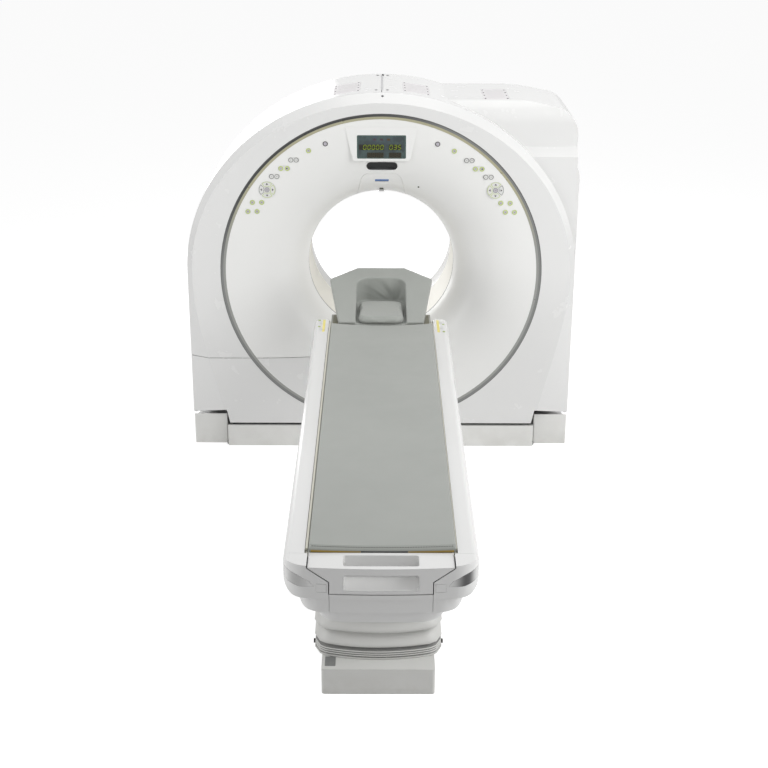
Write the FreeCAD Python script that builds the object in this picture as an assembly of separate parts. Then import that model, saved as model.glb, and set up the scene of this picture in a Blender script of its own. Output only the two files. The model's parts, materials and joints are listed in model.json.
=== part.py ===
import FreeCAD, Part
import math
import os
from FreeCAD import Rotation, Vector

# Tilting X-ray scanner with its patient table, in millimetres.
# Origin on the floor under the isocentre, +X to the right seen from the table's
# foot end, +Y from the table into the gantry, +Z up.

# ---------------------------------------------------------------- gantry sizes
ISO_Z = 940.0            # height of the tilt axis and of the bore's centre
FRONT_Y = -430.0         # flat front face
SEAM_Y = -377.0          # end of the front cover's bevel
HOUSING_Y = -374.0       # front edge of the housing
TAPER_Y = 200.0          # the housing narrows behind this plane
REAR_Y = 430.0           # rear edge of the housing
REAR_PLATE = 6.0         # thickness of the rear cover
SKIN = 5.0               # thickness of the gantry's covers
SIDE_A = 980.0           # half width of the housing
SIDE_B = 900.0           # rise of the housing above the isocentre
BEVEL_SIDE = 30.0        # the front face is this much narrower on each side
BEVEL_TOP = 43.0         # and this much lower
FACE_A = SIDE_A - BEVEL_SIDE
FACE_B = SIDE_B - BEVEL_TOP
FOOT_IN = 185.0          # how far the front face draws in at its bottom
FOOT_HALF = SIDE_A - FOOT_IN
LEAN = 14.0              # degrees that the front face's lower sides lean in
TAPER_SIDE = 15.0        # narrowing towards the rear
TAPER_TOP = 100.0
REAR_A = SIDE_A - TAPER_SIDE
REAR_B = SIDE_B - TAPER_TOP
COVER_BOTTOM = 130.0     # bottom of the covers between the side blocks
SWING_R = 854.0          # the side covers end on this circle about the tilt axis
WING_CUT_LEAN = 12.0
TILT = 24.0              # degrees of tilt each way
PANEL_TOP = 490.0        # top of the lower left service panel
PANEL_GAP = 1.5          # seam round small panels
COVER_GAP = 3.0          # seam between large covers
LIP = 3.6                # thickness of the lip that laps into the housing
LIP_DEPTH = 22.0
FIT = 0.4                # clearance where one cover laps or meets another

BORE_R = 375.0           # throat radius
RING_R = 807.0           # hole in the front cover
RING_OUTER = 14.0        # width of the ring's outer band, which stands proud
RING_INNER = 13.0        # width of its inner band
RING_STEP = RING_R - RING_OUTER
RING_PROUD = 1.5
RING_DEPTH = 25.0
BELL_R = RING_STEP - RING_INNER          # rim of the bell
THROAT_Y = -170.0        # rear end of the bell
THROAT_LAND = 8.0        # straight end of the bell
WINDOW_END = 170.0       # rear end of the scan window
# the bell's shape from its rim to its throat: (share of radius, share of depth)
BELL_SHAPE = [(1.0, 0.0), (0.8025, 0.0119), (0.6049, 0.0516), (0.4074, 0.1349),
              (0.2346, 0.2857), (0.1111, 0.496), (0.0321, 0.754), (0.0, 1.0)]
BELL_CURVE = [(BORE_R + out * (BELL_R - BORE_R),
               FRONT_Y + deep * (THROAT_Y - THROAT_LAND - FRONT_Y)) for out, deep in BELL_SHAPE]
REAR_FLARE = [(0, 180), (2, 260), (8, 340), (19, 400), (37, 426), (65, 436)]
REAR_CURVE = [(BORE_R + out, y) for out, y in REAR_FLARE]

# right-hand housing boxes
SHOULDER_Z = 1526.0      # top of the square lower shoulder
SHOULDER_R = 100.0
BOX_IN = 12.0            # the upper box stands this far inside the housing's side
BOX_A = SIDE_A - BOX_IN
BOX_TOP = 1792.0
BOX_LEFT = 300.0
BOX_FLAT = 640.0         # the box's top is flat up to here, then falls
BOX_DROP = 34.0
BOX_CORNER = 128.0
BOX_Y = -330.0           # front of the upper box
BOX_ROUND = 105.0        # rounding between its front and its top

# base under the gantry
BLOCK_INSET = 3.0        # side blocks inside the housing's side
BLOCK_W = 174.0
BLOCK_OUT = SIDE_A - BLOCK_INSET
BLOCK_IN = BLOCK_OUT - BLOCK_W
WING_GAP = 16.0          # front cover to side block at the cover's bottom edge
WING_CUT = BLOCK_IN - WING_GAP
BLOCK_Y0 = -392.0
BLOCK_Y1 = 440.0
SWING_GAP = 13.5         # side covers to the hollow top of the side blocks
BLOCK_CLEAR_R = SWING_R + SWING_GAP
PLINTH_HALF = BLOCK_IN - COVER_GAP
PLINTH_TOP = 115.0
PLINTH_DEPTH = 18.0
PLINTH_SKIN = 3.0
PLATE_T = 12.0
PAD_TOP = 60.0
POST_INSET = 45.0        # posts inside the side blocks
POST_W = 60.0
POST_OUT = BLOCK_OUT - POST_INSET
POST_IN = POST_OUT - POST_W
POST_Y0 = -20.0
POST_Y1 = 80.0
BOSS_R = 80.0
TRUNNION_R = 40.0
RUNNING = 0.05           # radial clearance of the journals
ANCHOR_R = 9.0           # holes for the floor anchors
ANCHOR_X = 700.0
ANCHOR_Y = 340.0

# rotating and tilting structure
FRAME_Y0 = 168.0
FRAME_T = 30.0
FRAME_OUT = 800.0
DRUM_CLEAR = 33.0        # bore to the drum's sleeve
SLEEVE_T = 22.0
SLEEVE_IN = BORE_R + DRUM_CLEAR
SLEEVE_R = SLEEVE_IN + SLEEVE_T
BEARING_T = 50.0
BEARING_OUT = SLEEVE_R + BEARING_T
FRAME_IN = SLEEVE_R + 10.0
DRUM_Y = 70.0
DRUM_T = 30.0
DRUM_R = 770.0
ARM_GAP = 10.0           # arm to post
ARM_W = 77.0
ARM_OUT = POST_IN - ARM_GAP
ARM_IN = ARM_OUT - ARM_W
STRUT = 22.0
TUBE_CLEAR = 55.0        # bore to the tube's window

# display and laser panel on the bell
BEZEL_TOP = 743.0        # heights are above the isocentre
BEZEL_BOTTOM = 577.0
BEZEL_TOP_HALF = 178.0
BEZEL_BOTTOM_HALF = 138.0
BEZEL_Y = -431.5
BEZEL_CORNER = 13.0
SCREEN_CORNER = 6.0
SCREEN_HALF = 119.5
SCREEN_BOTTOM = 588.0
SCREEN_TOP = 703.0
LASER_TOP = 505.0
LASER_TOP_HALF = 97.0
LASER_HALF = 122.0
LASER_CORNER = 38.0

# control keys, (x, z) from the isocentre on the right-hand side
KEY_R = 12.4
KEY_PROUD = 3.0
KEY_DEEP = 11.0
KEY_GAP = 0.6
ROCKER_GAP = 0.4
START_KEY = (273.0, 660.0)
HOLD_KEY = (355.0, 626.0)
ROCKERS = [((429.0, 580.0), 26.0), ((476.0, 538.0), 31.0), ((525.0, 498.0), 26.0)]
PAD_KEY = (562.0, 432.0)
PAD_KEY_R = 41.0
PAD_CENTRE_R = 13.0
FULCRUM_R = 3.0          # round rib on the back of each rocker, on which it tips
QUAD_KEYS = [(590.0, 368.0), (636.0, 368.0), (614.0, 322.0), (659.0, 322.0)]

# vents on the top: (x from, x to, y from, y to)
VENTS = [(-236.0, -106.0, -300.0, -40.0), (106.0, 236.0, -300.0, -40.0),
         (505.0, 630.0, -255.0, 15.0)]
VENT_SLOTS = 7
VENT_SLOT_W = 5.0

# --------------------------------------------------------------- table sizes
TABLE_Y1 = -930.0        # head end
TABLE_LENGTH = 2416.0
TABLE_Y0 = TABLE_Y1 - TABLE_LENGTH       # foot end
RAIL_HALF = 312.0
RAIL_TOP = 872.0
RAIL_DEEP = 115.0
RAIL_BOTTOM = RAIL_TOP - RAIL_DEEP
RAIL_TOP_R = 24.0
RAIL_LOW_R = 46.0
TIER_STEP = 4.0          # each lower tier starts this much further in
TRAY_LOW_R = 34.0
PAN_LOW_R = 24.0
RAIL_W = 68.0            # flat of each rail
RAIL_IN = RAIL_HALF - RAIL_W
TRAY_HALF = 264.0
TRAY_DEEP = 50.0
TRAY_BOTTOM = RAIL_BOTTOM - TRAY_DEEP
PAN_HALF = 207.0
PAN_DEEP = 35.0
PAN_BOTTOM = TRAY_BOTTOM - PAN_DEEP
PAN_LENGTH = 586.0
PAN_Y1 = TABLE_Y0 + PAN_LENGTH
FOOT_R = 90.0            # corner radius seen from above
FOOT_BOW = 2400.0        # radius of the foot end's slight bow
HEAD_R = 30.0
TABLE_SKIN = 4.0
FOOT_COVER = 96.0        # length of the foot-end cover
HEAD_COVER = 45.0
TABLE_SEAM = 0.9         # between the table's covers
INSERT_T = 2.2           # corner inserts
INSERT = [(340.0, 850.0), (300.0, 845.0), (262.0, 836.0), (226.0, 819.0),
          (211.0, 800.0), (262.0, 796.0), (300.0, 801.0), (340.0, 808.0)]
PLUG = (171.0, 205.0, 780.5, 810.5)      # small square plugs beside the end cap
GROOVE = 1.2
CAP_HALF = 231.0
CAP_LOW_HALF = 163.0
CAP_TOP = 866.0
CAP_SHOULDER = 864.0
CAP_KNEE = 818.0
CAP_BOTTOM = 776.0
CAP_LENGTH = 110.0
CAP_GAP = 3.0
TROUGH_GAP = 5.0
TROUGH_SHEET = 3.5
SLOT_HALF = 119.0
BAR = 22.0               # grip bar, front to back
BAR_DEEP = 24.0          # grip bar, top to bottom
HAND_DEPTH = 69.0
SLOT_CORNER = 8.0
HAND_LOW = 789.0
GLIDE = 0.5              # under the carriage

BOARD_GAP = 10.0         # cradle to rail
BOARD_HALF = RAIL_IN - BOARD_GAP
BOARD_DIP = 6.0          # hollow of the cradle's top
BOARD_EDGE = 5.0
BOARD_FLAT = 120.0
BOARD_DEEP = 38.0
BOARD_REACH = 85.0       # past the table's head end
BOARD_Y1 = TABLE_Y1 + BOARD_REACH
CARRIAGE_HALF = 118.0
CARRIAGE_LENGTH = 550.0
MAT_X = 4.0
MAT_HALF = 236.0
MAT_T = 17.5
MAT_GAP = 4.0            # mat to end cap, and mat to head rest
MAT_Y0 = TABLE_Y0 + CAP_LENGTH + MAT_GAP
REST_BACK = 80.0         # the head rest begins this far before the head end
REST_Y0 = TABLE_Y1 - REST_BACK
MAT_Y1 = REST_Y0 - MAT_GAP
REST_Z0 = CAP_TOP + FIT + MAT_T + 0.1
REST_SLOPE = 17.0
REST_T = 26.0
RECESS_HALF = 118.0
RECESS_Y1 = REST_Y0 + 355.0
REST_Y1 = REST_Y0 + 438.0
RECESS_WALL = 7.0
PILLOW_HALF = 104.0
PILLOW_T = 28.0
PILLOW_LENGTH = 238.0

BASE_X = -8.5            # the floor block stands this far off the table's middle
BASE_HALF = 212.0
FOOT_REACH = 616.0       # the table reaches this far past its base at the foot end
HEAD_REACH = 280.0
BASE_Y0 = TABLE_Y0 + FOOT_REACH
BASE_Y1 = TABLE_Y1 - HEAD_REACH
BASE_TOP = 106.0
BASE_SKIN = 6.0
BELLOWS_HALF = 241.0
BELLOWS_Y0 = BASE_Y0 + 66.0
BELLOWS_Y1 = BASE_Y1 - 72.0
BELLOWS_R = 50.0         # corners seen from above
BELLOWS_BOW = 500.0      # radius of the bulging ends
BELLOWS_DEPTH = 26.0
RIM_T = 6.0              # bottom rim of the bellows
RIM_GROOVE = 3.0
RIM_DEPTH = 7.0
BELLOWS_SKIN = 3.0
TIGHT_RIBS = 3
TIGHT_PITCH = 9.0
TIGHT_DEPTH = 5.0
WIDE_RIBS = 9
FOLD = [(0.1, 0.5), (0.2, 0.12), (0.3, 0.0), (0.45, 0.08), (0.72, 0.45), (1.0, 1.0)]
LIFT_UP = 60.0
LIFT_DOWN = 400.0
COLUMN_IN = 285.0        # columns inside the base's ends
COLUMN_YS = (BASE_Y0 + COLUMN_IN, BASE_Y1 - COLUMN_IN)
COLUMN_X = 100.0
COLUMN_W = 90.0
COLUMN_D = 76.0
COLUMN_WALL = 5.0
COLUMN_GAP = 0.5
COLUMN_TOP = 745.0
COLUMN_LEN = 322.0
TABLE_ANCHOR_R = 7.0
TABLE_ANCHOR_X = 150.0
TABLE_ANCHOR_IN = 80.0   # floor anchors inside the base's ends

MIDDLE = Vector(0, 0, ISO_Z)
ALONG_X = Vector(1, 0, 0)
ALONG_Y = Vector(0, 1, 0)
FAR = 3000.0             # longer than any cover, for cutting shapes


# ------------------------------------------------------------------- helpers
def box(x0, x1, y0, y1, z0, z1):
    """A box between two corners."""
    return Part.makeBox(x1 - x0, y1 - y0, z1 - z0, Vector(x0, y0, z0))


def rod_x(radius, x0, x1, y=0.0, z=ISO_Z):
    """A round bar along X."""
    return Part.makeCylinder(radius, x1 - x0, Vector(x0, y, z), ALONG_X)


def rod_y(radius, y0, y1, x=0.0, z=ISO_Z):
    """A round bar along Y."""
    return Part.makeCylinder(radius, y1 - y0, Vector(x, y0, z), ALONG_Y)


def ring_y(outer, inner, y0, y1):
    """A flat-ended ring round the bore."""
    return rod_y(outer, y0, y1).cut(rod_y(inner, y0 - 1, y1 + 1))


def polygon(points):
    """A closed wire through points."""
    return Part.makePolygon(list(points) + [points[0]])


def prism_y(points, y0, y1):
    """An outline of (x, z) points drawn along Y."""
    wire = polygon([Vector(x, y0, z) for x, z in points])
    return Part.Face(wire).extrude(Vector(0, y1 - y0, 0))


def prism_z(edges, z0, z1):
    """Edges that close an outline at z0, drawn up to z1."""
    return Part.Face(Part.Wire(edges)).extrude(Vector(0, 0, z1 - z0))


def line(a, b):
    """A straight edge."""
    return Part.LineSegment(a, b).toShape()


def arc(a, b, c):
    """An arc through three points."""
    return Part.Arc(a, b, c).toShape()


def mirror_x(shape):
    """The same piece on the other side."""
    return shape.mirror(Vector(0, 0, 0), ALONG_X)


def joined(shapes):
    """Several shapes made one solid."""
    whole = shapes[0].fuse(shapes[1:]) if len(shapes) > 1 else shapes[0]
    return whole.removeSplitter()


def save(name, *shapes):
    """Writes the solids of a node."""
    solids = [solid for shape in shapes for solid in shape.Solids]
    Part.makeCompound(solids).exportStep(f"parts/{name}.step")


# ------------------------------------------------------------ gantry outlines
def lean_radius():
    """Radius of the arc that joins the widest point to the leaning sides."""
    turn = math.radians(LEAN)
    spare = FACE_A - FOOT_HALF - (ISO_Z - COVER_BOTTOM) * math.tan(turn)
    return spare * math.cos(turn) / (math.cos(turn) - 1)


def top_arch(a, b, y):
    """The upper half of an ellipse, from right to left."""
    whole = Part.Ellipse(Vector(a, y, ISO_Z), Vector(0, y, ISO_Z + b), Vector(0, y, ISO_Z))
    return Part.ArcOfEllipse(whole, 0, math.pi).toShape()


def face_wire(y, inset=0.0):
    """The front face's outline."""
    turn = math.radians(LEAN)
    a, b = FACE_A - inset, FACE_B - inset
    radius = lean_radius()
    low, foot = COVER_BOTTOM, FOOT_HALF - inset
    knee = Vector(a - radius * (1 - math.cos(turn)), y, ISO_Z - radius * math.sin(turn))
    middle = Vector(a - radius * (1 - math.cos(turn / 2)), y,
                    ISO_Z - radius * math.sin(turn / 2))
    foot_r, side_r = Vector(foot, y, low), Vector(a, y, ISO_Z)
    flip = lambda p: Vector(-p.x, p.y, p.z)
    return Part.Wire([
        line(flip(foot_r), foot_r), line(foot_r, knee), arc(knee, middle, side_r),
        top_arch(a, b, y),
        arc(flip(side_r), flip(middle), flip(knee)), line(flip(knee), flip(foot_r))])


def side_wire(a, b, y):
    """The housing's outline: an arch on upright sides."""
    knee = ISO_Z - lean_radius() * math.sin(math.radians(LEAN))
    rise = [Vector(a, y, COVER_BOTTOM), Vector(a, y, knee), Vector(a, y, ISO_Z)]
    down = [Vector(-p.x, p.y, p.z) for p in reversed(rise)]
    return Part.Wire([
        line(down[2], rise[0]), line(rise[0], rise[1]), line(rise[1], rise[2]),
        top_arch(a, b, y), line(down[0], down[1]), line(down[1], down[2])])


def front_form(inset):
    """The front cover's form, bevelled out to the housing's outline."""
    return Part.makeLoft([
        face_wire(FRONT_Y + inset, inset),
        side_wire(SIDE_A - inset, SIDE_B - inset, SEAM_Y - SKIN),
        side_wire(SIDE_A - inset, SIDE_B - inset, SEAM_Y + inset)], True, True)


def arch_form(inset):
    """The round part of the housing."""
    return Part.makeLoft([
        side_wire(SIDE_A - inset, SIDE_B - inset, HOUSING_Y - inset),
        side_wire(SIDE_A - inset, SIDE_B - inset, TAPER_Y),
        side_wire(REAR_A - inset, REAR_B - inset, REAR_Y + inset)], True, True)


def band_form(inset, y0, y1):
    """A straight stretch of the housing's outline."""
    return Part.makeLoft([side_wire(SIDE_A - inset, SIDE_B - inset, y) for y in (y0, y1)],
                         True, True)


def shoulder_wire(y, side, top, inset):
    """Outline of the square lower shoulder."""
    x1, z1, r = side - inset, top - inset, SHOULDER_R - inset
    x0, z0 = BOX_LEFT + BOX_FLAT / 2, ISO_Z
    cut = r * (1 - math.sqrt(0.5))
    return Part.Wire([
        line(Vector(x0, y, z0), Vector(x1, y, z0)),
        line(Vector(x1, y, z0), Vector(x1, y, z1 - r)),
        arc(Vector(x1, y, z1 - r), Vector(x1 - cut, y, z1 - cut), Vector(x1 - r, y, z1)),
        line(Vector(x1 - r, y, z1), Vector(x0, y, z1)),
        line(Vector(x0, y, z1), Vector(x0, y, z0))])


def upper_wire(y, side, top, inset):
    """Outline of the upper box, with its falling top and round corner."""
    x1, z1, r = side - inset, top - inset, BOX_CORNER - inset
    x0, z0 = BOX_LEFT + inset, SHOULDER_Z - SHOULDER_R
    fall = z1 - BOX_DROP
    cut = r * (1 - math.sqrt(0.5))
    return Part.Wire([
        line(Vector(x0, y, z0), Vector(x1, y, z0)),
        line(Vector(x1, y, z0), Vector(x1, y, fall - r)),
        arc(Vector(x1, y, fall - r), Vector(x1 - cut, y, fall - cut + 2),
            Vector(x1 - r, y, fall + 4)),
        arc(Vector(x1 - r, y, fall + 4), Vector((x1 - r + BOX_FLAT) / 2, y, z1 - BOX_DROP / 3),
            Vector(BOX_FLAT, y, z1)),
        line(Vector(BOX_FLAT, y, z1), Vector(x0, y, z1)),
        line(Vector(x0, y, z1), Vector(x0, y, z0))])


def box_side(inset):
    """Side view of the upper box: round front edge and a sloping ledge below."""
    y0, top, r = BOX_Y + inset, BOX_TOP - inset, BOX_ROUND - inset
    ledge = SHOULDER_Z - inset
    run = BOX_Y - HOUSING_Y
    cut = r * (1 - math.sqrt(0.5))
    x = BOX_LEFT
    corner = [Vector(x, y0, top - r), Vector(x, y0 + cut, top - cut), Vector(x, y0 + r, top)]
    far = REAR_Y + 2 * SKIN
    path = [Vector(x, far, top), Vector(x, far, ISO_Z), Vector(x, y0 - run, ISO_Z),
            Vector(x, y0 - run, ledge), Vector(x, y0, ledge + run), corner[0]]
    edges = [line(a, b) for a, b in zip(path, path[1:])]
    edges += [arc(*corner), line(corner[2], path[0])]
    return Part.Face(Part.Wire(edges)).extrude(Vector(SIDE_A, 0, 0))


def right_form(inset):
    """The right-hand housing: arch, square shoulder and upper box."""
    fall = SIDE_A - REAR_A
    shoulder = Part.makeLoft([
        shoulder_wire(HOUSING_Y + inset, SIDE_A, SHOULDER_Z, inset),
        shoulder_wire(TAPER_Y, SIDE_A, SHOULDER_Z, inset),
        shoulder_wire(REAR_Y + inset, REAR_A, SHOULDER_Z - fall, inset)], True, True)
    upper = Part.makeLoft([
        upper_wire(BOX_Y - BOX_ROUND, BOX_A, BOX_TOP, inset),
        upper_wire(TAPER_Y, BOX_A, BOX_TOP, inset),
        upper_wire(REAR_Y + inset, BOX_A - fall, BOX_TOP - SIDE_B + REAR_B, inset)], True, True)
    return arch_form(inset).fuse([shoulder, upper.common(box_side(inset))])


def swing_cutter():
    """Space outside the swing circle, beside the front face's lower sides."""
    low, high = 0.0, ISO_Z - SWING_R * 0.75
    slope = math.tan(math.radians(WING_CUT_LEAN))
    points = [(WING_CUT + (low - COVER_BOTTOM) * slope, low), (SIDE_A + 50, low),
              (SIDE_A + 50, high), (WING_CUT + (high - COVER_BOTTOM) * slope, high)]
    right = prism_y(points, FRONT_Y - 50, REAR_Y + 50)
    wheel = rod_x(SWING_R, -FAR, FAR)
    return right.cut(wheel), mirror_x(right).cut(wheel)


def curve_band(points, thickness, side):
    """A band of even thickness that follows a curve of (radius, y) points."""
    near = [Vector(0, y, ISO_Z + r) for r, y in points]
    curve = Part.BSplineCurve()
    curve.interpolate(near)
    far = []
    for p in near:
        t = curve.tangent(curve.parameter(p))[0]
        far.append(p + Vector(0, -t.z, t.y) * side * thickness)
    back = Part.BSplineCurve()
    back.interpolate(far)
    return near, far, curve.toShape(), back.toShape()


def revolved(edges):
    """A profile turned about the bore's axis."""
    return Part.Face(Part.Wire(edges)).revolve(MIDDLE, ALONG_Y, 360)


def bell_form():
    """The front bell: a curved funnel with a short rim and a short throat."""
    near, far, curve, back = curve_band(BELL_CURVE, SKIN, 1)
    rim_y, rim_t = FRONT_Y + 4 * SKIN, SKIN
    rim = [near[0], Vector(0, rim_y, ISO_Z + BELL_R),
           Vector(0, rim_y, ISO_Z + BELL_R - rim_t), far[0]]
    throat = [near[-1], Vector(0, THROAT_Y, ISO_Z + BORE_R),
              Vector(0, THROAT_Y, ISO_Z + BORE_R + SKIN), far[-1]]
    funnel = revolved([curve, line(near[-1], far[-1]), back, line(far[0], near[0])])
    lip = ring_y(BELL_R, BELL_R - rim_t, near[0].y + SKIN / 2, rim_y)
    tail = ring_y(BORE_R + SKIN, BORE_R, BELL_CURVE[-1][1] - 1, THROAT_Y)
    return joined([funnel, lip, tail])


# ------------------------------------------------------------- bell's cut-outs
def stadium(x, z, spread, radius, y0, y1):
    """Two discs side by side and the web between them."""
    half = spread / 2
    web = box(x - half, x + half, y0, y1, ISO_Z + z - radius, ISO_Z + z + radius)
    ends = [rod_y(radius, y0, y1, x + s * half, ISO_Z + z) for s in (-1, 1)]
    return web.fuse(ends)


def rounded_box(x0, x1, y0, y1, z0, z1, radius, way):
    """A box with the edges along one direction rounded."""
    made = box(x0, x1, y0, y1, z0, z1)
    return round_edges(made, radius, way)


def round_edges(solid, radius, way):
    """Rounds a solid's straight edges along one direction."""
    picked = []
    for edge in solid.Edges:
        run = edge.Vertexes[-1].Point - edge.Vertexes[0].Point
        if run.Length > 1 and abs(run.normalize().dot(way)) > 0.999:
            picked.append(edge)
    return solid.makeFillet(radius, picked)


def bezel_prism(grow, y0, y1):
    """The display bezel's tapered block."""
    top, low = ISO_Z + BEZEL_TOP + grow, ISO_Z + BEZEL_BOTTOM - grow
    a, b = BEZEL_TOP_HALF + grow, BEZEL_BOTTOM_HALF + grow
    block = prism_y([(-b, low), (b, low), (a, top), (-a, top)], y0, y1)
    return round_edges(block, BEZEL_CORNER + grow, ALONG_Y)


def laser_prism(grow):
    """The laser panel's outline, drawn through the bell."""
    y = FRONT_Y
    r = LASER_CORNER
    low = ISO_Z + BORE_R - SKIN
    top = ISO_Z + LASER_TOP + grow
    a, b = LASER_TOP_HALF + grow, LASER_HALF + grow
    cut = r * (1 - math.sqrt(0.5))
    right = [Vector(b, y, low), Vector(a + 4, y, top - r), Vector(a - cut, y, top - cut),
             Vector(a - r, y, top)]
    left = [Vector(-p.x, p.y, p.z) for p in right]
    wire = Part.Wire([
        line(left[0], right[0]), line(right[0], right[1]), arc(*right[1:]),
        line(right[3], left[3]), arc(left[3], left[2], left[1]), line(left[1], left[0])])
    return Part.Face(wire).extrude(Vector(0, THROAT_Y - y + 1, 0))


def key_front(x, z):
    """Y of the bell's surface at a key."""
    r = math.hypot(x, z)
    for (r1, y1), (r0, y0) in zip(BELL_CURVE, BELL_CURVE[1:]):
        if r0 <= r <= r1:
            return y0 + (y1 - y0) * (r - r0) / (r1 - r0)
    return FRONT_Y


def key_shapes():
    """(name, key, hole) for each control key on the right-hand side."""
    made = []

    def disc_key(name, place, radius, gap, flange=True):
        x, z = place
        y0 = key_front(x, z) - KEY_PROUD
        key = rod_y(radius, y0, y0 + KEY_DEEP + KEY_PROUD, x, ISO_Z + z)
        if flange:
            y1 = y0 + KEY_DEEP + KEY_PROUD
            key = key.fuse(rod_y(radius + 2, y1 - KEY_PROUD, y1, x, ISO_Z + z))
        hole = rod_y(radius + gap, y0 - 20, y0 + 40, x, ISO_Z + z)
        made.append((name, key.removeSplitter(), hole))

    disc_key("start_key", START_KEY, KEY_R, KEY_GAP)
    disc_key("hold_key", HOLD_KEY, KEY_R, KEY_GAP)
    for number, ((x, z), spread) in enumerate(ROCKERS, 1):
        y0 = key_front(x, z) - KEY_PROUD
        key = stadium(x, z, spread, KEY_R, y0, y0 + KEY_DEEP)
        key = key.fuse(Part.makeCylinder(FULCRUM_R, 2 * KEY_R - FULCRUM_R, Vector(
            x, y0 + KEY_DEEP, ISO_Z + z - KEY_R + FULCRUM_R / 2)))
        hole = stadium(x, z, spread + 2 * ROCKER_GAP, KEY_R + KEY_GAP, y0 - 20, y0 + 40)
        made.append((f"rocker_{number}", key.removeSplitter(), hole))
    x, z = PAD_KEY
    y0 = key_front(x, z) - KEY_PROUD
    pad = rod_y(PAD_KEY_R, y0, y0 + KEY_DEEP, x, ISO_Z + z)
    pad = pad.cut(rod_y(PAD_CENTRE_R + KEY_GAP, y0 - 1, y0 + KEY_DEEP + 1, x, ISO_Z + z))
    made.append(("pad_key", pad, rod_y(PAD_KEY_R + KEY_GAP, y0 - 20, y0 + 40, x, ISO_Z + z)))
    centre = rod_y(PAD_CENTRE_R, y0 - 1, y0 + KEY_DEEP, x, ISO_Z + z)
    made.append(("pad_centre_key", centre, None))
    for number, place in enumerate(QUAD_KEYS, 1):
        disc_key(f"quad_key_{number}", place, KEY_R, KEY_GAP)
    return made


# --------------------------------------------------------------- gantry parts
def make_covers():
    """Front cover, service panel, bell, rings, display, laser panel and keys."""
    cutters = swing_cutter()
    shell = front_form(0).cut(front_form(SKIN))
    step = band_form(SKIN / 2, SEAM_Y - SKIN, SEAM_Y - 1)
    lip_out = band_form(SKIN + FIT, SEAM_Y - SKIN, SEAM_Y + LIP_DEPTH)
    lip_in = band_form(SKIN + FIT + LIP, SEAM_Y - 3 * SKIN, SEAM_Y + 2 * LIP_DEPTH)
    bottom = box(-FAR, FAR, FRONT_Y - 50, REAR_Y + 50, 0, COVER_BOTTOM + SKIN)
    mouth = bottom.common(box(-FAR, FAR, FRONT_Y + SKIN, REAR_Y + 50, 0, FAR))
    shell = shell.fuse(step.fuse(lip_out).cut(lip_in)).cut(mouth)
    shell = shell.cut([*cutters, rod_y(RING_R, FRONT_Y - 9, SEAM_Y + 2 * LIP_DEPTH)])
    shell = shell.removeSplitter()

    bell = bell_form()
    holes = []
    for name, key, hole in key_shapes():
        save(f"{name}_right", key)
        save(f"{name}_left", mirror_x(key))
        if hole:
            holes += [hole, mirror_x(hole)]
    laser = bell.common(laser_prism(0))
    opening = bezel_prism(FIT, FRONT_Y - 20, FRONT_Y + 90)
    bell = bell.cut([*holes, opening, laser_prism(PANEL_GAP / 2)])

    half = COVER_GAP / 2
    door = box(-FAR, -half, FRONT_Y - 50, SEAM_Y + LIP_DEPTH, 0, PANEL_TOP - half)
    gap = box(-FAR, half, FRONT_Y - 50, SEAM_Y + LIP_DEPTH, 0, PANEL_TOP + half)
    reach = box(-FAR, -half, FRONT_Y - 50, THROAT_Y, 0, PANEL_TOP - half)
    reach_gap = box(-FAR, half, FRONT_Y - 50, THROAT_Y + 1, 0, PANEL_TOP + half)
    save("service_panel", shell.common(door), bell.common(reach))
    save("front_cover", shell.cut(gap))
    save("bell", bell.cut(reach_gap))
    save("laser_panel", laser)
    band = ring_y(RING_R - FIT, BELL_R + FIT, FRONT_Y + RING_PROUD, FRONT_Y + RING_DEPTH)
    save("ring_trim", band.fuse(ring_y(RING_R - FIT, RING_STEP, FRONT_Y, FRONT_Y + RING_DEPTH))
         .removeSplitter())

    back_y = FRONT_Y + 45
    body = bezel_prism(0, BEZEL_Y, back_y).cut(bezel_prism(-SKIN, BEZEL_Y + SKIN, back_y + 1))
    window = rounded_box(-SCREEN_HALF, SCREEN_HALF, BEZEL_Y - 1, back_y,
                         ISO_Z + SCREEN_BOTTOM, ISO_Z + SCREEN_TOP, SCREEN_CORNER, ALONG_Y)
    save("display_bezel", body.cut(window))
    thin = FIT / 2
    screen_y = BEZEL_Y + 1.5
    save("display_panel", rounded_box(
        -SCREEN_HALF + thin, SCREEN_HALF - thin, screen_y, screen_y + 12,
        ISO_Z + SCREEN_BOTTOM + thin, ISO_Z + SCREEN_TOP - thin, SCREEN_CORNER - thin, ALONG_Y))


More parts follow.
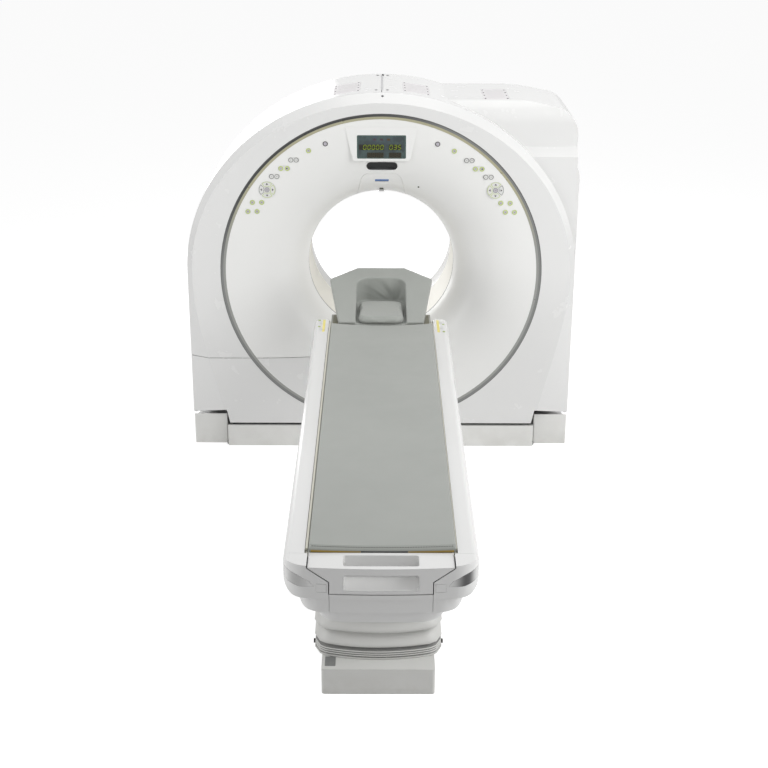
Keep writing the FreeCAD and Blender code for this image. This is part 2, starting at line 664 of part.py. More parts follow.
def make_housing():
    """Left and right housings, vents, rear cover and scan window."""
    cutters = swing_cutter()
    under = box(-FAR, FAR, HOUSING_Y - 50, REAR_Y + 50, 0, COVER_BOTTOM + SKIN)
    half = COVER_GAP / 2
    left = arch_form(0).cut(arch_form(SKIN)).cut([*cutters, under])
    left = left.common(box(-FAR, -half, HOUSING_Y, REAR_Y, 0, 2 * FAR))
    right = right_form(0).cut(right_form(SKIN)).cut([*cutters, under])
    right = right.common(box(half, FAR, HOUSING_Y, REAR_Y, 0, 2 * FAR))
    vents = []
    for x0, x1, y0, y1 in VENTS:
        side = left if x0 < 0 else right
        tall = (ISO_Z + SIDE_B / 2, ISO_Z + SIDE_B + 50)
        plate = side.common(box(x0, x1, y0, y1, *tall))
        hole = box(x0 - FIT, x1 + FIT, y0 - FIT, y1 + FIT, *tall)
        pitch = (y1 - y0) / (VENT_SLOTS + 1)
        margin = (x1 - x0) / 8
        slots = [box(x0 + margin, x1 - margin, y0 + pitch * (i + 1) - VENT_SLOT_W / 2,
                     y0 + pitch * (i + 1) + VENT_SLOT_W / 2, *tall)
                 for i in range(VENT_SLOTS)]
        vents.append(plate.cut(slots))
        if x0 < 0:
            left = left.cut(hole)
        else:
            right = right.cut(hole)
    save("housing_left", left)
    save("housing_right", right)
    save("vent_grilles", *vents)

    near, far, curve, back = curve_band(REAR_CURVE, SKIN, 1)
    funnel = revolved([curve, line(near[-1], far[-1]), back, line(far[0], near[0])])
    tail = ring_y(BORE_R + SKIN, BORE_R, WINDOW_END, REAR_CURVE[0][1] + 1)
    edge = REAR_CURVE[-1][0]
    plate_y0 = REAR_Y + FIT
    fall = SIDE_A - REAR_A
    outlines = [side_wire(REAR_A, REAR_B, plate_y0),
                shoulder_wire(plate_y0, REAR_A, SHOULDER_Z - fall, 0),
                upper_wire(plate_y0, BOX_A - fall, BOX_TOP - SIDE_B + REAR_B, 0)]
    plate, *wings = [Part.Face(wire).extrude(Vector(0, REAR_PLATE, 0)) for wire in outlines]
    plate = plate.fuse(wings).removeSplitter()
    plate = plate.cut([rod_y(edge - 1, plate_y0 - 1, plate_y0 + 20), *cutters])
    lower = COVER_BOTTOM + SKIN
    plate = plate.cut(box(-FAR, FAR, plate_y0 - 1, plate_y0 + 20, 0, lower))
    save("rear_cover", joined([plate, funnel, tail]))
    save("scan_window", ring_y(BORE_R + 2, BORE_R, THROAT_Y + FIT, WINDOW_END - FIT))


def make_structure():
    """Tilt frame with its trunnions, drum bearing, drum and what it carries."""
    frame_y1 = FRAME_Y0 + FRAME_T
    plate = ring_y(FRAME_OUT, FRAME_IN, FRAME_Y0, frame_y1)
    pieces = [plate]
    cabin = arch_form(SKIN + FIT)
    for side in (-1, 1):
        place = (lambda s: s) if side > 0 else mirror_x
        arm = box(ARM_IN, ARM_OUT, -BOSS_R, frame_y1, ISO_Z - BOSS_R, ISO_Z + BOSS_R)
        ear = box(FRAME_OUT - 100, ARM_OUT, FRAME_Y0, frame_y1,
                  ISO_Z - 2 * BOSS_R, ISO_Z + 2 * BOSS_R)
        pin = rod_x(TRUNNION_R, ARM_OUT - 1, POST_OUT + 3)
        top = box(150, 190, FRAME_Y0, frame_y1, ISO_Z + FRAME_OUT - 50, ISO_Z + SIDE_B)
        wide = box(FRAME_OUT - 120, SIDE_A, FRAME_Y0 + 20, frame_y1,
                   ISO_Z + 3 * BOSS_R, ISO_Z + 3 * BOSS_R + 40)
        pieces += [place(s) for s in (arm, ear, pin, top.common(cabin), wide.common(cabin))]
    mid = (BELL_R + RING_STEP) / 2
    for degrees in (40, 140, 220, 320):
        strut = box(mid - STRUT / 2, mid + STRUT / 2, FRONT_Y + RING_DEPTH + FIT, FRAME_Y0 + 1,
                    -STRUT / 2, STRUT / 2)
        strut.rotate(Vector(0, 0, 0), ALONG_Y, -degrees)
        strut.translate(MIDDLE)
        pieces.append(strut)
    save("tilt_frame", joined(pieces))
    sleeve_y1 = FRAME_Y0 - 4
    save("drum_bearing", ring_y(BEARING_OUT, SLEEVE_R + RUNNING, DRUM_Y + DRUM_T + 10, FRAME_Y0))

    drum = joined([ring_y(DRUM_R, SLEEVE_IN, DRUM_Y, DRUM_Y + DRUM_T),
                   ring_y(SLEEVE_R, SLEEVE_IN, DRUM_Y + 1, sleeve_y1)])
    save("rotor_drum", drum)
    tube = joined([
        box(-210, 210, -70, 60, ISO_Z + 520, ISO_Z + 660),
        rod_x(72, -250, 250, -5, ISO_Z + 590),
        box(-120, 120, 55, DRUM_Y, ISO_Z + 500, ISO_Z + 700),
        box(-90, 90, -60, 50, ISO_Z + BORE_R + TUBE_CLEAR, ISO_Z + 521)])
    save("xray_tube", tube)
    fan = prism_y([(0, ISO_Z + 590), (-620, ISO_Z - 700), (620, ISO_Z - 700)], -80, DRUM_Y)
    arc_wall = ring_y(640, 520, -60, DRUM_Y)
    save("detector_array", arc_wall.common(fan).common(
        box(-FAR, FAR, -100, 100, 0, ISO_Z - 200)))
    tanks = [box(-730, -500, -110, DRUM_Y, ISO_Z - 150, ISO_Z + 150),
             box(500, 730, -110, DRUM_Y, ISO_Z - 150, ISO_Z + 150)]
    save("hv_generator", *tanks)


def make_base():
    """Base frame with the two posts, plinth covers and side blocks."""
    edge = BLOCK_OUT - SKIN
    inner = BLOCK_IN + SKIN
    deep = -FRONT_Y - PLINTH_DEPTH
    floor = box(-inner, inner, -deep, deep, 0, PLATE_T)
    pieces = [floor]
    for side in (-1, 1):
        place = (lambda s: s) if side > 0 else mirror_x
        pad = box(inner, edge, BLOCK_Y0 + SKIN, BLOCK_Y1 - SKIN, 0, PAD_TOP)
        well = box(inner + 14, edge - 14, BLOCK_Y0 + 30, BLOCK_Y1 - 30, PLATE_T, PAD_TOP + 1)
        post = box(POST_IN, POST_OUT, POST_Y0, POST_Y1, 0, ISO_Z)
        boss = rod_x(BOSS_R, POST_IN, POST_OUT)
        pieces += [place(pad.cut(well)), place(post), place(boss)]
    frame = joined(pieces)
    frame = frame.cut(rod_x(TRUNNION_R + RUNNING, -FAR, FAR))
    for x in (-ANCHOR_X, ANCHOR_X):
        for y in (-ANCHOR_Y, ANCHOR_Y):
            frame = frame.cut(Part.makeCylinder(ANCHOR_R, PLATE_T + 2, Vector(x, y, -1)))
    save("base_frame", frame)

    wall = PLINTH_SKIN
    cover = box(-PLINTH_HALF, PLINTH_HALF, FRONT_Y, FRONT_Y + PLINTH_DEPTH, 0, PLINTH_TOP)
    hollow = box(-PLINTH_HALF + wall, PLINTH_HALF - wall, FRONT_Y + wall,
                 FRONT_Y + PLINTH_DEPTH + 1, wall, PLINTH_TOP - wall)
    front = cover.cut(hollow)
    save("plinth_covers", front, front.mirror(Vector(0, 0, 0), ALONG_Y))

    solid = box(BLOCK_IN, BLOCK_OUT, BLOCK_Y0, BLOCK_Y1, 0, ISO_Z)
    corners = [e for e in solid.Edges if abs(e.Vertexes[0].Z - e.Vertexes[1].Z) > 1]
    solid = solid.makeFillet(8, corners)
    solid = solid.cut(rod_x(BLOCK_CLEAR_R, -FAR, FAR)).common(
        box(0, FAR, -FAR, FAR, 0, ISO_Z - SWING_R * 0.75))
    hole = box(inner, edge, BLOCK_Y0 + SKIN, BLOCK_Y1 - SKIN, -1, ISO_Z)
    hole = hole.cut(rod_x(BLOCK_CLEAR_R + SKIN, -FAR, FAR))
    hole = hole.common(box(0, FAR, -FAR, FAR, -1, ISO_Z - SWING_R * 0.75 - SKIN))
    passage = box(POST_IN - 1, POST_OUT + 1, POST_Y0 - 1, POST_Y1 + 1, 0, ISO_Z)
    notch = box(BLOCK_IN - 1, inner + 1, -deep, deep, -1, PLATE_T + 1)
    block = solid.cut([hole, passage, notch])
    save("side_blocks", block, mirror_x(block))


# ---------------------------------------------------------------- table parts
def tier(half, z0, z1, top_r, low_r, y0, y1, foot_r, head_r, bow):
    """A stretch of the table's body: its section drawn along Y, round in plan."""
    def side(sign):
        out = []
        if low_r:
            c = low_r * (1 - math.sqrt(0.5))
            out.append(arc(Vector(sign * (half - low_r), y0, z0),
                           Vector(sign * (half - c), y0, z0 + c),
                           Vector(sign * half, y0, z0 + low_r)))
        out.append(line(Vector(sign * half, y0, z0 + low_r), Vector(sign * half, y0, z1 - top_r)))
        if top_r:
            c = top_r * (1 - math.sqrt(0.5))
            out.append(arc(Vector(sign * half, y0, z1 - top_r),
                           Vector(sign * (half - c), y0, z1 - c),
                           Vector(sign * (half - top_r), y0, z1)))
        return out
    section = side(1)
    section.append(line(Vector(half - top_r, y0, z1), Vector(top_r - half, y0, z1)))
    section += side(-1)[::-1]
    section.append(line(Vector(low_r - half, y0, z0), Vector(half - low_r, y0, z0)))
    wires = Part.Wire(Part.__sortEdges__(section))
    bar = Part.Face(wires).extrude(Vector(0, y1 - y0, 0))
    plan = plan_prism(half, y0, y1, foot_r, head_r, z0 - 1, z1 + 1, bow)
    return bar.common(plan)


def end_points(half, y_end, sign, r, bow):
    """Side, corner and middle points of a bowed end with round corners."""
    xs = half - r
    yb = y_end + sign * bow
    ys = yb - sign * math.sqrt((bow - r) ** 2 - xs ** 2)
    share = bow / (bow - r)
    touch = (xs * share, yb + (ys - yb) * share)
    dx, dy = (touch[0] - xs) / r + 1, (touch[1] - ys) / r
    size = math.hypot(dx, dy)
    return (half, ys), (xs + r * dx / size, ys + r * dy / size), touch, (0.0, y_end)


def plan_edges(half, y0, y1, r0, r1, bow0, bow1, z, x=0.0):
    """Edges of a long rounded plan shape whose two ends are bowed."""
    def at(point, side):
        return Vector(x + side * point[0], point[1], z)

    foot = end_points(half, y0, 1, r0, bow0)
    head = end_points(half, y1, -1, r1, bow1)
    return [arc(at(foot[0], -1), at(foot[1], -1), at(foot[2], -1)),
            arc(at(foot[2], -1), at(foot[3], 1), at(foot[2], 1)),
            arc(at(foot[2], 1), at(foot[1], 1), at(foot[0], 1)),
            line(at(foot[0], 1), at(head[0], 1)),
            arc(at(head[0], 1), at(head[1], 1), at(head[2], 1)),
            arc(at(head[2], 1), at(head[3], 1), at(head[2], -1)),
            arc(at(head[2], -1), at(head[1], -1), at(head[0], -1)),
            line(at(head[0], -1), at(foot[0], -1))]


def plan_prism(half, y0, y1, foot_r, head_r, z0, z1, bow=FOOT_BOW):
    """A long rounded plan shape, drawn up from z0 to z1."""
    return prism_z(plan_edges(half, y0, y1, foot_r, head_r, bow, 40 * FOOT_BOW, z0), z0, z1)


def table_form(inset):
    """The table body: rails, tray and, at the foot end, the pan."""
    t = inset
    ends = (FOOT_R - t, HEAD_R - t, FOOT_BOW - t)
    rails = tier(RAIL_HALF - t, RAIL_BOTTOM + t, RAIL_TOP - t, RAIL_TOP_R, RAIL_LOW_R,
                 TABLE_Y0 + t, TABLE_Y1 - t, *ends)
    tray = tier(TRAY_HALF - t, TRAY_BOTTOM + t, RAIL_BOTTOM + 3 * SKIN, 0, TRAY_LOW_R,
                TABLE_Y0 + TIER_STEP + t, TABLE_Y1 - 5 * TIER_STEP - t, *ends)
    pan = tier(PAN_HALF - t, PAN_BOTTOM + t, TRAY_BOTTOM + 3 * SKIN, 0, PAN_LOW_R,
               TABLE_Y0 + 2 * TIER_STEP + t, PAN_Y1 - t, *ends)
    return rails.fuse([tray, pan])


def cap_outline(grow, top):
    """Section of the end cap, or of the trough round it, up to a given height."""
    slope = (CAP_HALF - CAP_LOW_HALF) / (CAP_SHOULDER - CAP_KNEE)
    drop = grow * 0.5 * slope
    high, low = CAP_HALF + grow, CAP_LOW_HALF + grow
    right = [(low, CAP_BOTTOM - grow), (low, CAP_KNEE - drop), (high, CAP_SHOULDER - drop),
             (high, top)]
    return right + [(-x, z) for x, z in reversed(right)]


def make_table():
    """Covers of the table, its frame and the parts that slide on it."""
    shell = table_form(0).cut(table_form(TABLE_SKIN))
    space = prism_y(cap_outline(CAP_GAP, RAIL_TOP + 20), TABLE_Y0 - 20, TABLE_Y1 + 20)
    foot_y = TABLE_Y0 + FOOT_COVER
    head_y = TABLE_Y1 - HEAD_COVER
    wide = box(-RAIL_IN, RAIL_IN, foot_y, TABLE_Y1 + 20, RAIL_TOP - 2 * TABLE_SKIN, RAIL_TOP + 20)
    inner = box(-RAIL_IN + TABLE_SKIN, RAIL_IN - TABLE_SKIN, foot_y,
                TABLE_Y1 + 20, RAIL_BOTTOM, RAIL_TOP)
    shell = shell.cut([space, wide, inner])
    gap = TABLE_SEAM / 2
    high = RAIL_BOTTOM + gap
    low = RAIL_BOTTOM - gap
    flange_z = CAP_SHOULDER - 2 * TROUGH_SHEET - 3 * TABLE_SKIN
    flange = box(RAIL_IN, RAIL_IN + TABLE_SKIN, foot_y, TABLE_Y1 - TABLE_SKIN,
                 flange_z, RAIL_TOP - 1)
    shell = shell.fuse([flange, mirror_x(flange)])
    lower = shell.common(box(-FAR, FAR, foot_y + gap, TABLE_Y1, 0, low))
    upper = shell.common(box(-FAR, FAR, foot_y + gap, head_y - gap, high, ISO_Z))
    end = shell.common(box(-FAR, FAR, head_y + gap, TABLE_Y1, high, ISO_Z))
    foot = shell.common(box(-FAR, FAR, TABLE_Y0 - 50, foot_y - gap, 0, ISO_Z))
    hatch = plan_prism(BELLOWS_HALF - 40, BELLOWS_Y0 + 60, BELLOWS_Y1 - 60, BELLOWS_R,
                       BELLOWS_R, PAN_BOTTOM - 5, TRAY_BOTTOM + 2 * SKIN)
    save("table_pan", lower.cut(hatch))
    save("side_covers", upper)
    save("head_end_cover", end)
    make_foot_end(foot)

    y0, y1 = foot_y + 2 * gap, TABLE_Y1 - TABLE_SKIN - FIT
    sheet = prism_y(cap_outline(TROUGH_GAP + TROUGH_SHEET, CAP_SHOULDER - 3), y0, y1)
    sheet = sheet.cut(prism_y(cap_outline(TROUGH_GAP, RAIL_TOP), y0 - 1, y1 + 1))
    floor = CAP_BOTTOM - TROUGH_GAP - TROUGH_SHEET
    beam_x = CAP_LOW_HALF + TROUGH_GAP + TROUGH_SHEET
    edge_x = CAP_HALF + TROUGH_GAP + TROUGH_SHEET - 1
    edge_z = CAP_SHOULDER - 3 - 2 * TROUGH_SHEET
    rest_z = CAP_BOTTOM - GLIDE
    pieces = [sheet]
    outer = box(beam_x, beam_x + 30, y0 + 10, y1 - 40, TRAY_BOTTOM + TABLE_SKIN, CAP_KNEE - 25)
    hollow = box(beam_x + 4, beam_x + 26, y0, y1, TRAY_BOTTOM + TABLE_SKIN + 4, CAP_KNEE - 29)
    rail = box(70, 100, y0, y1, CAP_BOTTOM - TROUGH_GAP - 1, rest_z - GLIDE)
    shelf = box(edge_x, RAIL_IN - FIT, y0 + 1, y1 - 1, edge_z, edge_z + TROUGH_SHEET)
    for shape in (outer.cut(hollow), rail, shelf):
        pieces += [shape, mirror_x(shape)]
    for y in COLUMN_YS:
        depth = COLUMN_D / 2 + 20
        pieces.append(box(-beam_x - 1, beam_x + 1, y - depth, y + depth, COLUMN_TOP, floor + 1))
    save("table_frame", joined(pieces))

    board_edge = CAP_TOP - BOARD_EDGE
    low_z = CAP_TOP - BOARD_DEEP
    cap_y1 = TABLE_Y0 + CAP_LENGTH
    under = [Vector(BOARD_HALF, cap_y1, CAP_TOP), Vector(BOARD_HALF, cap_y1, board_edge),
             Vector(BOARD_FLAT, cap_y1, low_z), Vector(-BOARD_FLAT, cap_y1, low_z),
             Vector(-BOARD_HALF, cap_y1, board_edge), Vector(-BOARD_HALF, cap_y1, CAP_TOP)]
    board = Part.Face(Part.Wire([dished(CAP_TOP, cap_y1)] +
                                [line(a, b) for a, b in zip(under, under[1:])]))
    save("cradle_board", board.extrude(Vector(0, BOARD_Y1 - cap_y1, 0)))
    carriage = box(-CARRIAGE_HALF, CARRIAGE_HALF, cap_y1, cap_y1 + CARRIAGE_LENGTH,
                   rest_z, low_z)
    bay = box(-CARRIAGE_HALF + 12, CARRIAGE_HALF - 12, cap_y1 - 1, cap_y1 + CARRIAGE_LENGTH + 1,
              rest_z + 12, low_z - 10)
    save("cradle_carriage", carriage.cut(bay))

    cap = prism_y(cap_outline(0, CAP_TOP), TABLE_Y0, cap_y1)
    hand_y = TABLE_Y0 + BAR + HAND_DEPTH
    top_slot = rounded_box(-SLOT_HALF, SLOT_HALF, TABLE_Y0 + BAR, hand_y,
                           HAND_LOW, CAP_TOP + 1, SLOT_CORNER, Vector(0, 0, 1))
    front_slot = rounded_box(-SLOT_HALF, SLOT_HALF, TABLE_Y0 - 1, hand_y,
                             HAND_LOW, CAP_TOP - BAR_DEEP, SLOT_CORNER, ALONG_Y)
    bowed = plan_prism(RAIL_HALF, TABLE_Y0, TABLE_Y1, FOOT_R, HEAD_R, 0, ISO_Z)
    save("end_cap", cap.common(bowed).cut([top_slot, front_slot]))

    rise = MAT_T / 2
    low_l = Vector(MAT_X - MAT_HALF + 3, MAT_Y0, CAP_TOP + FIT)
    low_r = Vector(MAT_X + MAT_HALF - 3, MAT_Y0, CAP_TOP + FIT)
    top_l, top_r = low_l + Vector(0, 0, MAT_T), low_r + Vector(0, 0, MAT_T)
    dip = Vector(MAT_X, MAT_Y0, CAP_TOP + FIT - BOARD_DIP)
    mat = Part.Face(Part.Wire([
        arc(low_l, dip, low_r),
        arc(low_r, Vector(MAT_X + MAT_HALF, MAT_Y0, low_r.z + rise), top_r),
        arc(top_r, dip + Vector(0, 0, MAT_T), top_l),
        arc(top_l, Vector(MAT_X - MAT_HALF, MAT_Y0, low_l.z + rise), low_l)]))
    save("mat", mat.extrude(Vector(0, MAT_Y1 - MAT_Y0, 0)))


def dished(edge_z, y):
    """The hollow line of the cradle's top at its edges' height."""
    return arc(Vector(-BOARD_HALF, y, edge_z), Vector(0, y, edge_z - BOARD_DIP),
               Vector(BOARD_HALF, y, edge_z))


def make_foot_end(foot):
    """Foot-end cover with its grooves, and the inserts at its corners."""
    def band(depth, points):
        skin = table_form(0).cut(table_form(depth))
        y1 = TABLE_Y0 + FOOT_COVER - 2 * GROOVE
        right = skin.common(prism_y(points, TABLE_Y0 - 50, y1))
        return right, mirror_x(right)

    centre = Vector(sum(x for x, _ in INSERT) / len(INSERT), 0,
                    sum(z for _, z in INSERT) / len(INSERT))
    small = []
    for x, z in INSERT:
        inward = centre - Vector(x, 0, z)
        inward.normalize()
        small.append((x + inward.x * 2 * FIT, z + inward.z * 2 * FIT))
    save("corner_inserts", *band(INSERT_T, small))
    x0, x1, z0, z1 = PLUG
    front, back = TABLE_Y0 - 1, TABLE_Y0 + x1 ** 2 / (2 * FOOT_BOW) + GROOVE
    ring = box(x0, x1, front, back, z0, z1).cut(
        box(x0 + GROOVE, x1 - GROOVE, front, back, z0 + GROOVE, z1 - GROOVE))
    seam = box(CAP_LOW_HALF, CAP_LOW_HALF + GROOVE, front, back + TIER_STEP,
               TRAY_BOTTOM + GROOVE, CAP_BOTTOM)
    cuts = [ring, mirror_x(ring), seam, mirror_x(seam)]
    save("foot_end_cover", foot.cut([*band(INSERT_T + FIT, INSERT), *cuts]))


def make_head_rest():
    """The sloping arm and head rest with its recess, and the pillow in it."""
    turn = math.radians(REST_SLOPE)

    def along(y):
        return (y - REST_Y0) / math.cos(turn)

    halves = [(0.0, 198.0), (along(REST_Y0 + 93.0), 212.0), (along(RECESS_Y1 - 10.0), 248.0),
              (along(REST_Y1), 115.0)]
    points = [(w, u) for u, w in halves] + [(-w, u) for u, w in reversed(halves)]
    top = 0.0
    plate = Part.Face(polygon([Vector(x, y, top - REST_T) for x, y in points]))
    plate = plate.extrude(Vector(0, 0, REST_T))
    sky = box(-FAR, FAR, -FAR, FAR, 0, FAR)
    for shape in (plate, sky):
        shape.rotate(Vector(0, 0, 0), ALONG_X, REST_SLOPE)
        shape.translate(Vector(0, REST_Y0, REST_Z0))
    wall = RECESS_WALL
    seat = CAP_TOP + FIT
    tub = box(-RECESS_HALF - wall, RECESS_HALF + wall, REST_Y0, RECESS_Y1 + wall,
              seat - BOARD_DIP, ISO_Z + 90)
    tub = tub.cut(sky)
    well = plan_prism(RECESS_HALF, REST_Y0 - 200, RECESS_Y1, 60, 60, seat + wall, ISO_Z + 200)
    bed = [Vector(BOARD_HALF, REST_Y0, seat), Vector(BOARD_HALF, REST_Y0, 0),
           Vector(-BOARD_HALF, REST_Y0, 0), Vector(-BOARD_HALF, REST_Y0, seat)]
    table_top = Part.Face(Part.Wire(
        [dished(seat, REST_Y0)] + [line(a, b) for a, b in zip(bed, bed[1:])]))
    table_top = table_top.extrude(Vector(0, BOARD_Y1 + FIT - REST_Y0, 0))
    rest = plate.fuse(tub).cut([well, table_top,
                                box(-FAR, FAR, REST_Y0 - 100, REST_Y0, 0, 2000)])
    save("head_rest", rest.removeSplitter())

    half, thick = PILLOW_HALF, PILLOW_T
    y0 = REST_Y0 + MAT_GAP
    y1 = y0 + PILLOW_LENGTH
    z0 = seat + wall + 0.3
    layers = []
    for share, inset in ((0.0, 12.0), (0.45, 0.0), (0.8, 7.0), (1.0, 26.0)):
        z = z0 + thick * share
        layers.append(Part.Wire(plan_edges(half - inset, y0 + inset, y1 - inset, 42 - inset,
                                           42 - inset, 600.0, 600.0, z)))
    save("pillow", Part.makeLoft(layers, True, False))


def make_lift():
    """Table base, bellows and the telescopic columns."""
    block = box(BASE_X - BASE_HALF, BASE_X + BASE_HALF, BASE_Y0, BASE_Y1, 0, BASE_TOP)
    corners = [e for e in block.Edges if abs(e.Vertexes[0].Z - e.Vertexes[1].Z) > 1]
    block = block.makeFillet(12, corners)
    t = BASE_SKIN
    hollow = box(BASE_X - BASE_HALF + t, BASE_X + BASE_HALF - t, BASE_Y0 + t, BASE_Y1 - t,
                 PLATE_T, BASE_TOP - t)
    block = block.cut(hollow)
    gap = 2.0
    for y in COLUMN_YS:
        for s in (-1, 1):
            x = BASE_X + s * COLUMN_X
            block = block.cut(box(x - COLUMN_W / 2 - gap, x + COLUMN_W / 2 + gap,
                                  y - COLUMN_D / 2 - gap, y + COLUMN_D / 2 + gap,
                                  BASE_TOP - t - 1, BASE_TOP + 1))
    middle = (BASE_Y0 + BASE_Y1) / 2
    reach = (BASE_Y1 - BASE_Y0) / 2 - TABLE_ANCHOR_IN
    for sx in (-1, 1):
        for sy in (-1, 1):
            block = block.cut(Part.makeCylinder(
                TABLE_ANCHOR_R, PLATE_T + 2,
                Vector(BASE_X + sx * TABLE_ANCHOR_X, middle + sy * reach, -1)))
    save("table_base", block)

    rest = COLUMN_TOP
    outer_top = rest - LIFT_DOWN - 7
    stages = [
        ("lift_outer_columns", PLATE_T, outer_top, 0),
        ("lift_middle_columns", outer_top + 2 + LIFT_DOWN / 2 - COLUMN_LEN,
         outer_top + 2 + LIFT_DOWN / 2, 1),
        ("lift_inner_columns", rest - COLUMN_LEN, rest, 2)]
    for name, z0, z1, stage in stages:
        shrink = stage * (COLUMN_WALL + COLUMN_GAP)
        tubes = []
        for y in COLUMN_YS:
            for s in (-1, 1):
                x = BASE_X + s * COLUMN_X
                w, d = COLUMN_W / 2 - shrink, COLUMN_D / 2 - shrink
                wall = COLUMN_WALL
                tube = box(x - w, x + w, y - d, y + d, z0, z1)
                bore = box(x - w + wall, x + w - wall, y - d + wall, y + d - wall, z0 - 1, z1 + 1)
                tubes.append(tube.cut(bore))
        save(name, *tubes)

    z = BASE_TOP + FIT
    levels = [(z, 0.0), (z + RIM_T, 0.0), (z + RIM_T + 0.5, RIM_DEPTH)]
    z += RIM_T + RIM_GROOVE
    levels.append((z, RIM_DEPTH))
    for _ in range(TIGHT_RIBS):
        levels += [(z + TIGHT_PITCH / 2, 1.5), (z + TIGHT_PITCH, TIGHT_DEPTH)]
        z += TIGHT_PITCH
    z += RIM_GROOVE
    levels.append((z, BELLOWS_DEPTH))
    pitch = (TRAY_BOTTOM - FIT - z) / WIDE_RIBS
    for _ in range(WIDE_RIBS):
        levels += [(z + share * pitch, depth * BELLOWS_DEPTH) for share, depth in FOLD]
        z += pitch

    def skin_wires(extra):
        wires = []
        for level, d in levels:
            t = d + extra
            wires.append(Part.Wire(plan_edges(
                BELLOWS_HALF - t, BELLOWS_Y0 + t, BELLOWS_Y1 - t, BELLOWS_R - t, BELLOWS_R - t,
                BELLOWS_BOW - t, BELLOWS_BOW - t, level, BASE_X)))
        return wires

    skin = Part.makeLoft(skin_wires(0), True, True).cut(
        Part.makeLoft(skin_wires(BELLOWS_SKIN), True, True))
    save("bellows", skin)


def main():
    """Builds every piece."""
    os.makedirs("parts", exist_ok=True)
    make_covers()
    make_housing()
    make_structure()
    make_base()
    make_table()
    make_head_rest()
    make_lift()


main()
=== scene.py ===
"""Looks of a tilting X-ray ring scanner and its patient table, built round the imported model.

Every class below is a sub-assembly: its sizes are dataclass fields in metres, and its methods
build the meshes and dress them. Finishes are frozen dataclasses, and effects that several of
them use are shader node groups. What repeats (screws, stitches, folds) comes from Geometry Nodes.
"""

import functools
import json
import logging
import math
from collections.abc import Iterable, Mapping, Sequence
from dataclasses import dataclass, field
from enum import Enum

import bmesh
import bpy
from mathutils import Matrix, Vector, noise
from mathutils.bvhtree import BVHTree

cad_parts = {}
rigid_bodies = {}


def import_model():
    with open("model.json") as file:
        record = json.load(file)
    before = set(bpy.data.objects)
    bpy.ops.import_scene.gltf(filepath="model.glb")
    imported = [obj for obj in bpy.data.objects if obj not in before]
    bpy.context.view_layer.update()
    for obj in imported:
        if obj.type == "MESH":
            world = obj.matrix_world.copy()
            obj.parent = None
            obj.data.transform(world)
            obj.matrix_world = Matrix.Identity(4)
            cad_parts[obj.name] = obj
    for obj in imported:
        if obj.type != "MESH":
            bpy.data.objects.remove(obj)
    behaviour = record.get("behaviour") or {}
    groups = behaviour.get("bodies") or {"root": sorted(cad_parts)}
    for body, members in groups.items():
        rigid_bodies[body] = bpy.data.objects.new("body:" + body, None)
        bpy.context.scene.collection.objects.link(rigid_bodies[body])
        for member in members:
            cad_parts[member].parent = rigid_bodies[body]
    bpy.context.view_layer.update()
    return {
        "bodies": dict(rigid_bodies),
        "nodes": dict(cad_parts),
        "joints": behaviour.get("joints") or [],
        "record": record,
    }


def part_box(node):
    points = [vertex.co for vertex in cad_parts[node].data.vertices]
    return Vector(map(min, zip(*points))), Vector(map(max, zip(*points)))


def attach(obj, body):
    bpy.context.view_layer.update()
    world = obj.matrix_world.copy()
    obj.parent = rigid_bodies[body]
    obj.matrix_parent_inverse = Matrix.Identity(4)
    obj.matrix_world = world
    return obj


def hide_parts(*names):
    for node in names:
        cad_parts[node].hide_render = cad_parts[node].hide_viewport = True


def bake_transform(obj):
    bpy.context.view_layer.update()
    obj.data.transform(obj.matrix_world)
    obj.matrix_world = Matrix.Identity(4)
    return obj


log = logging.getLogger("scanner")

Colour = tuple[float, float, float]
Point = tuple[float, float, float]
Flat = tuple[float, float]
Edges = tuple[float, float, float, float]
Faces = list[tuple[int, ...]]
Piece = bpy.types.Object
Mesh = bpy.types.Mesh
Socket = bpy.types.NodeSocket


def srgb(red: int, green: int, blue: int) -> Colour:
    """Turns an 8-bit screen colour into linear values."""
    shares = (value / 255 for value in (red, green, blue))
    return tuple(v / 12.92 if v <= 0.04045 else ((v + 0.055) / 1.055) ** 2.4 for v in shares)


def dimmed(colour: Colour, share: float) -> Colour:
    """Keeps a share of a colour's light."""
    return tuple(c * share for c in colour)


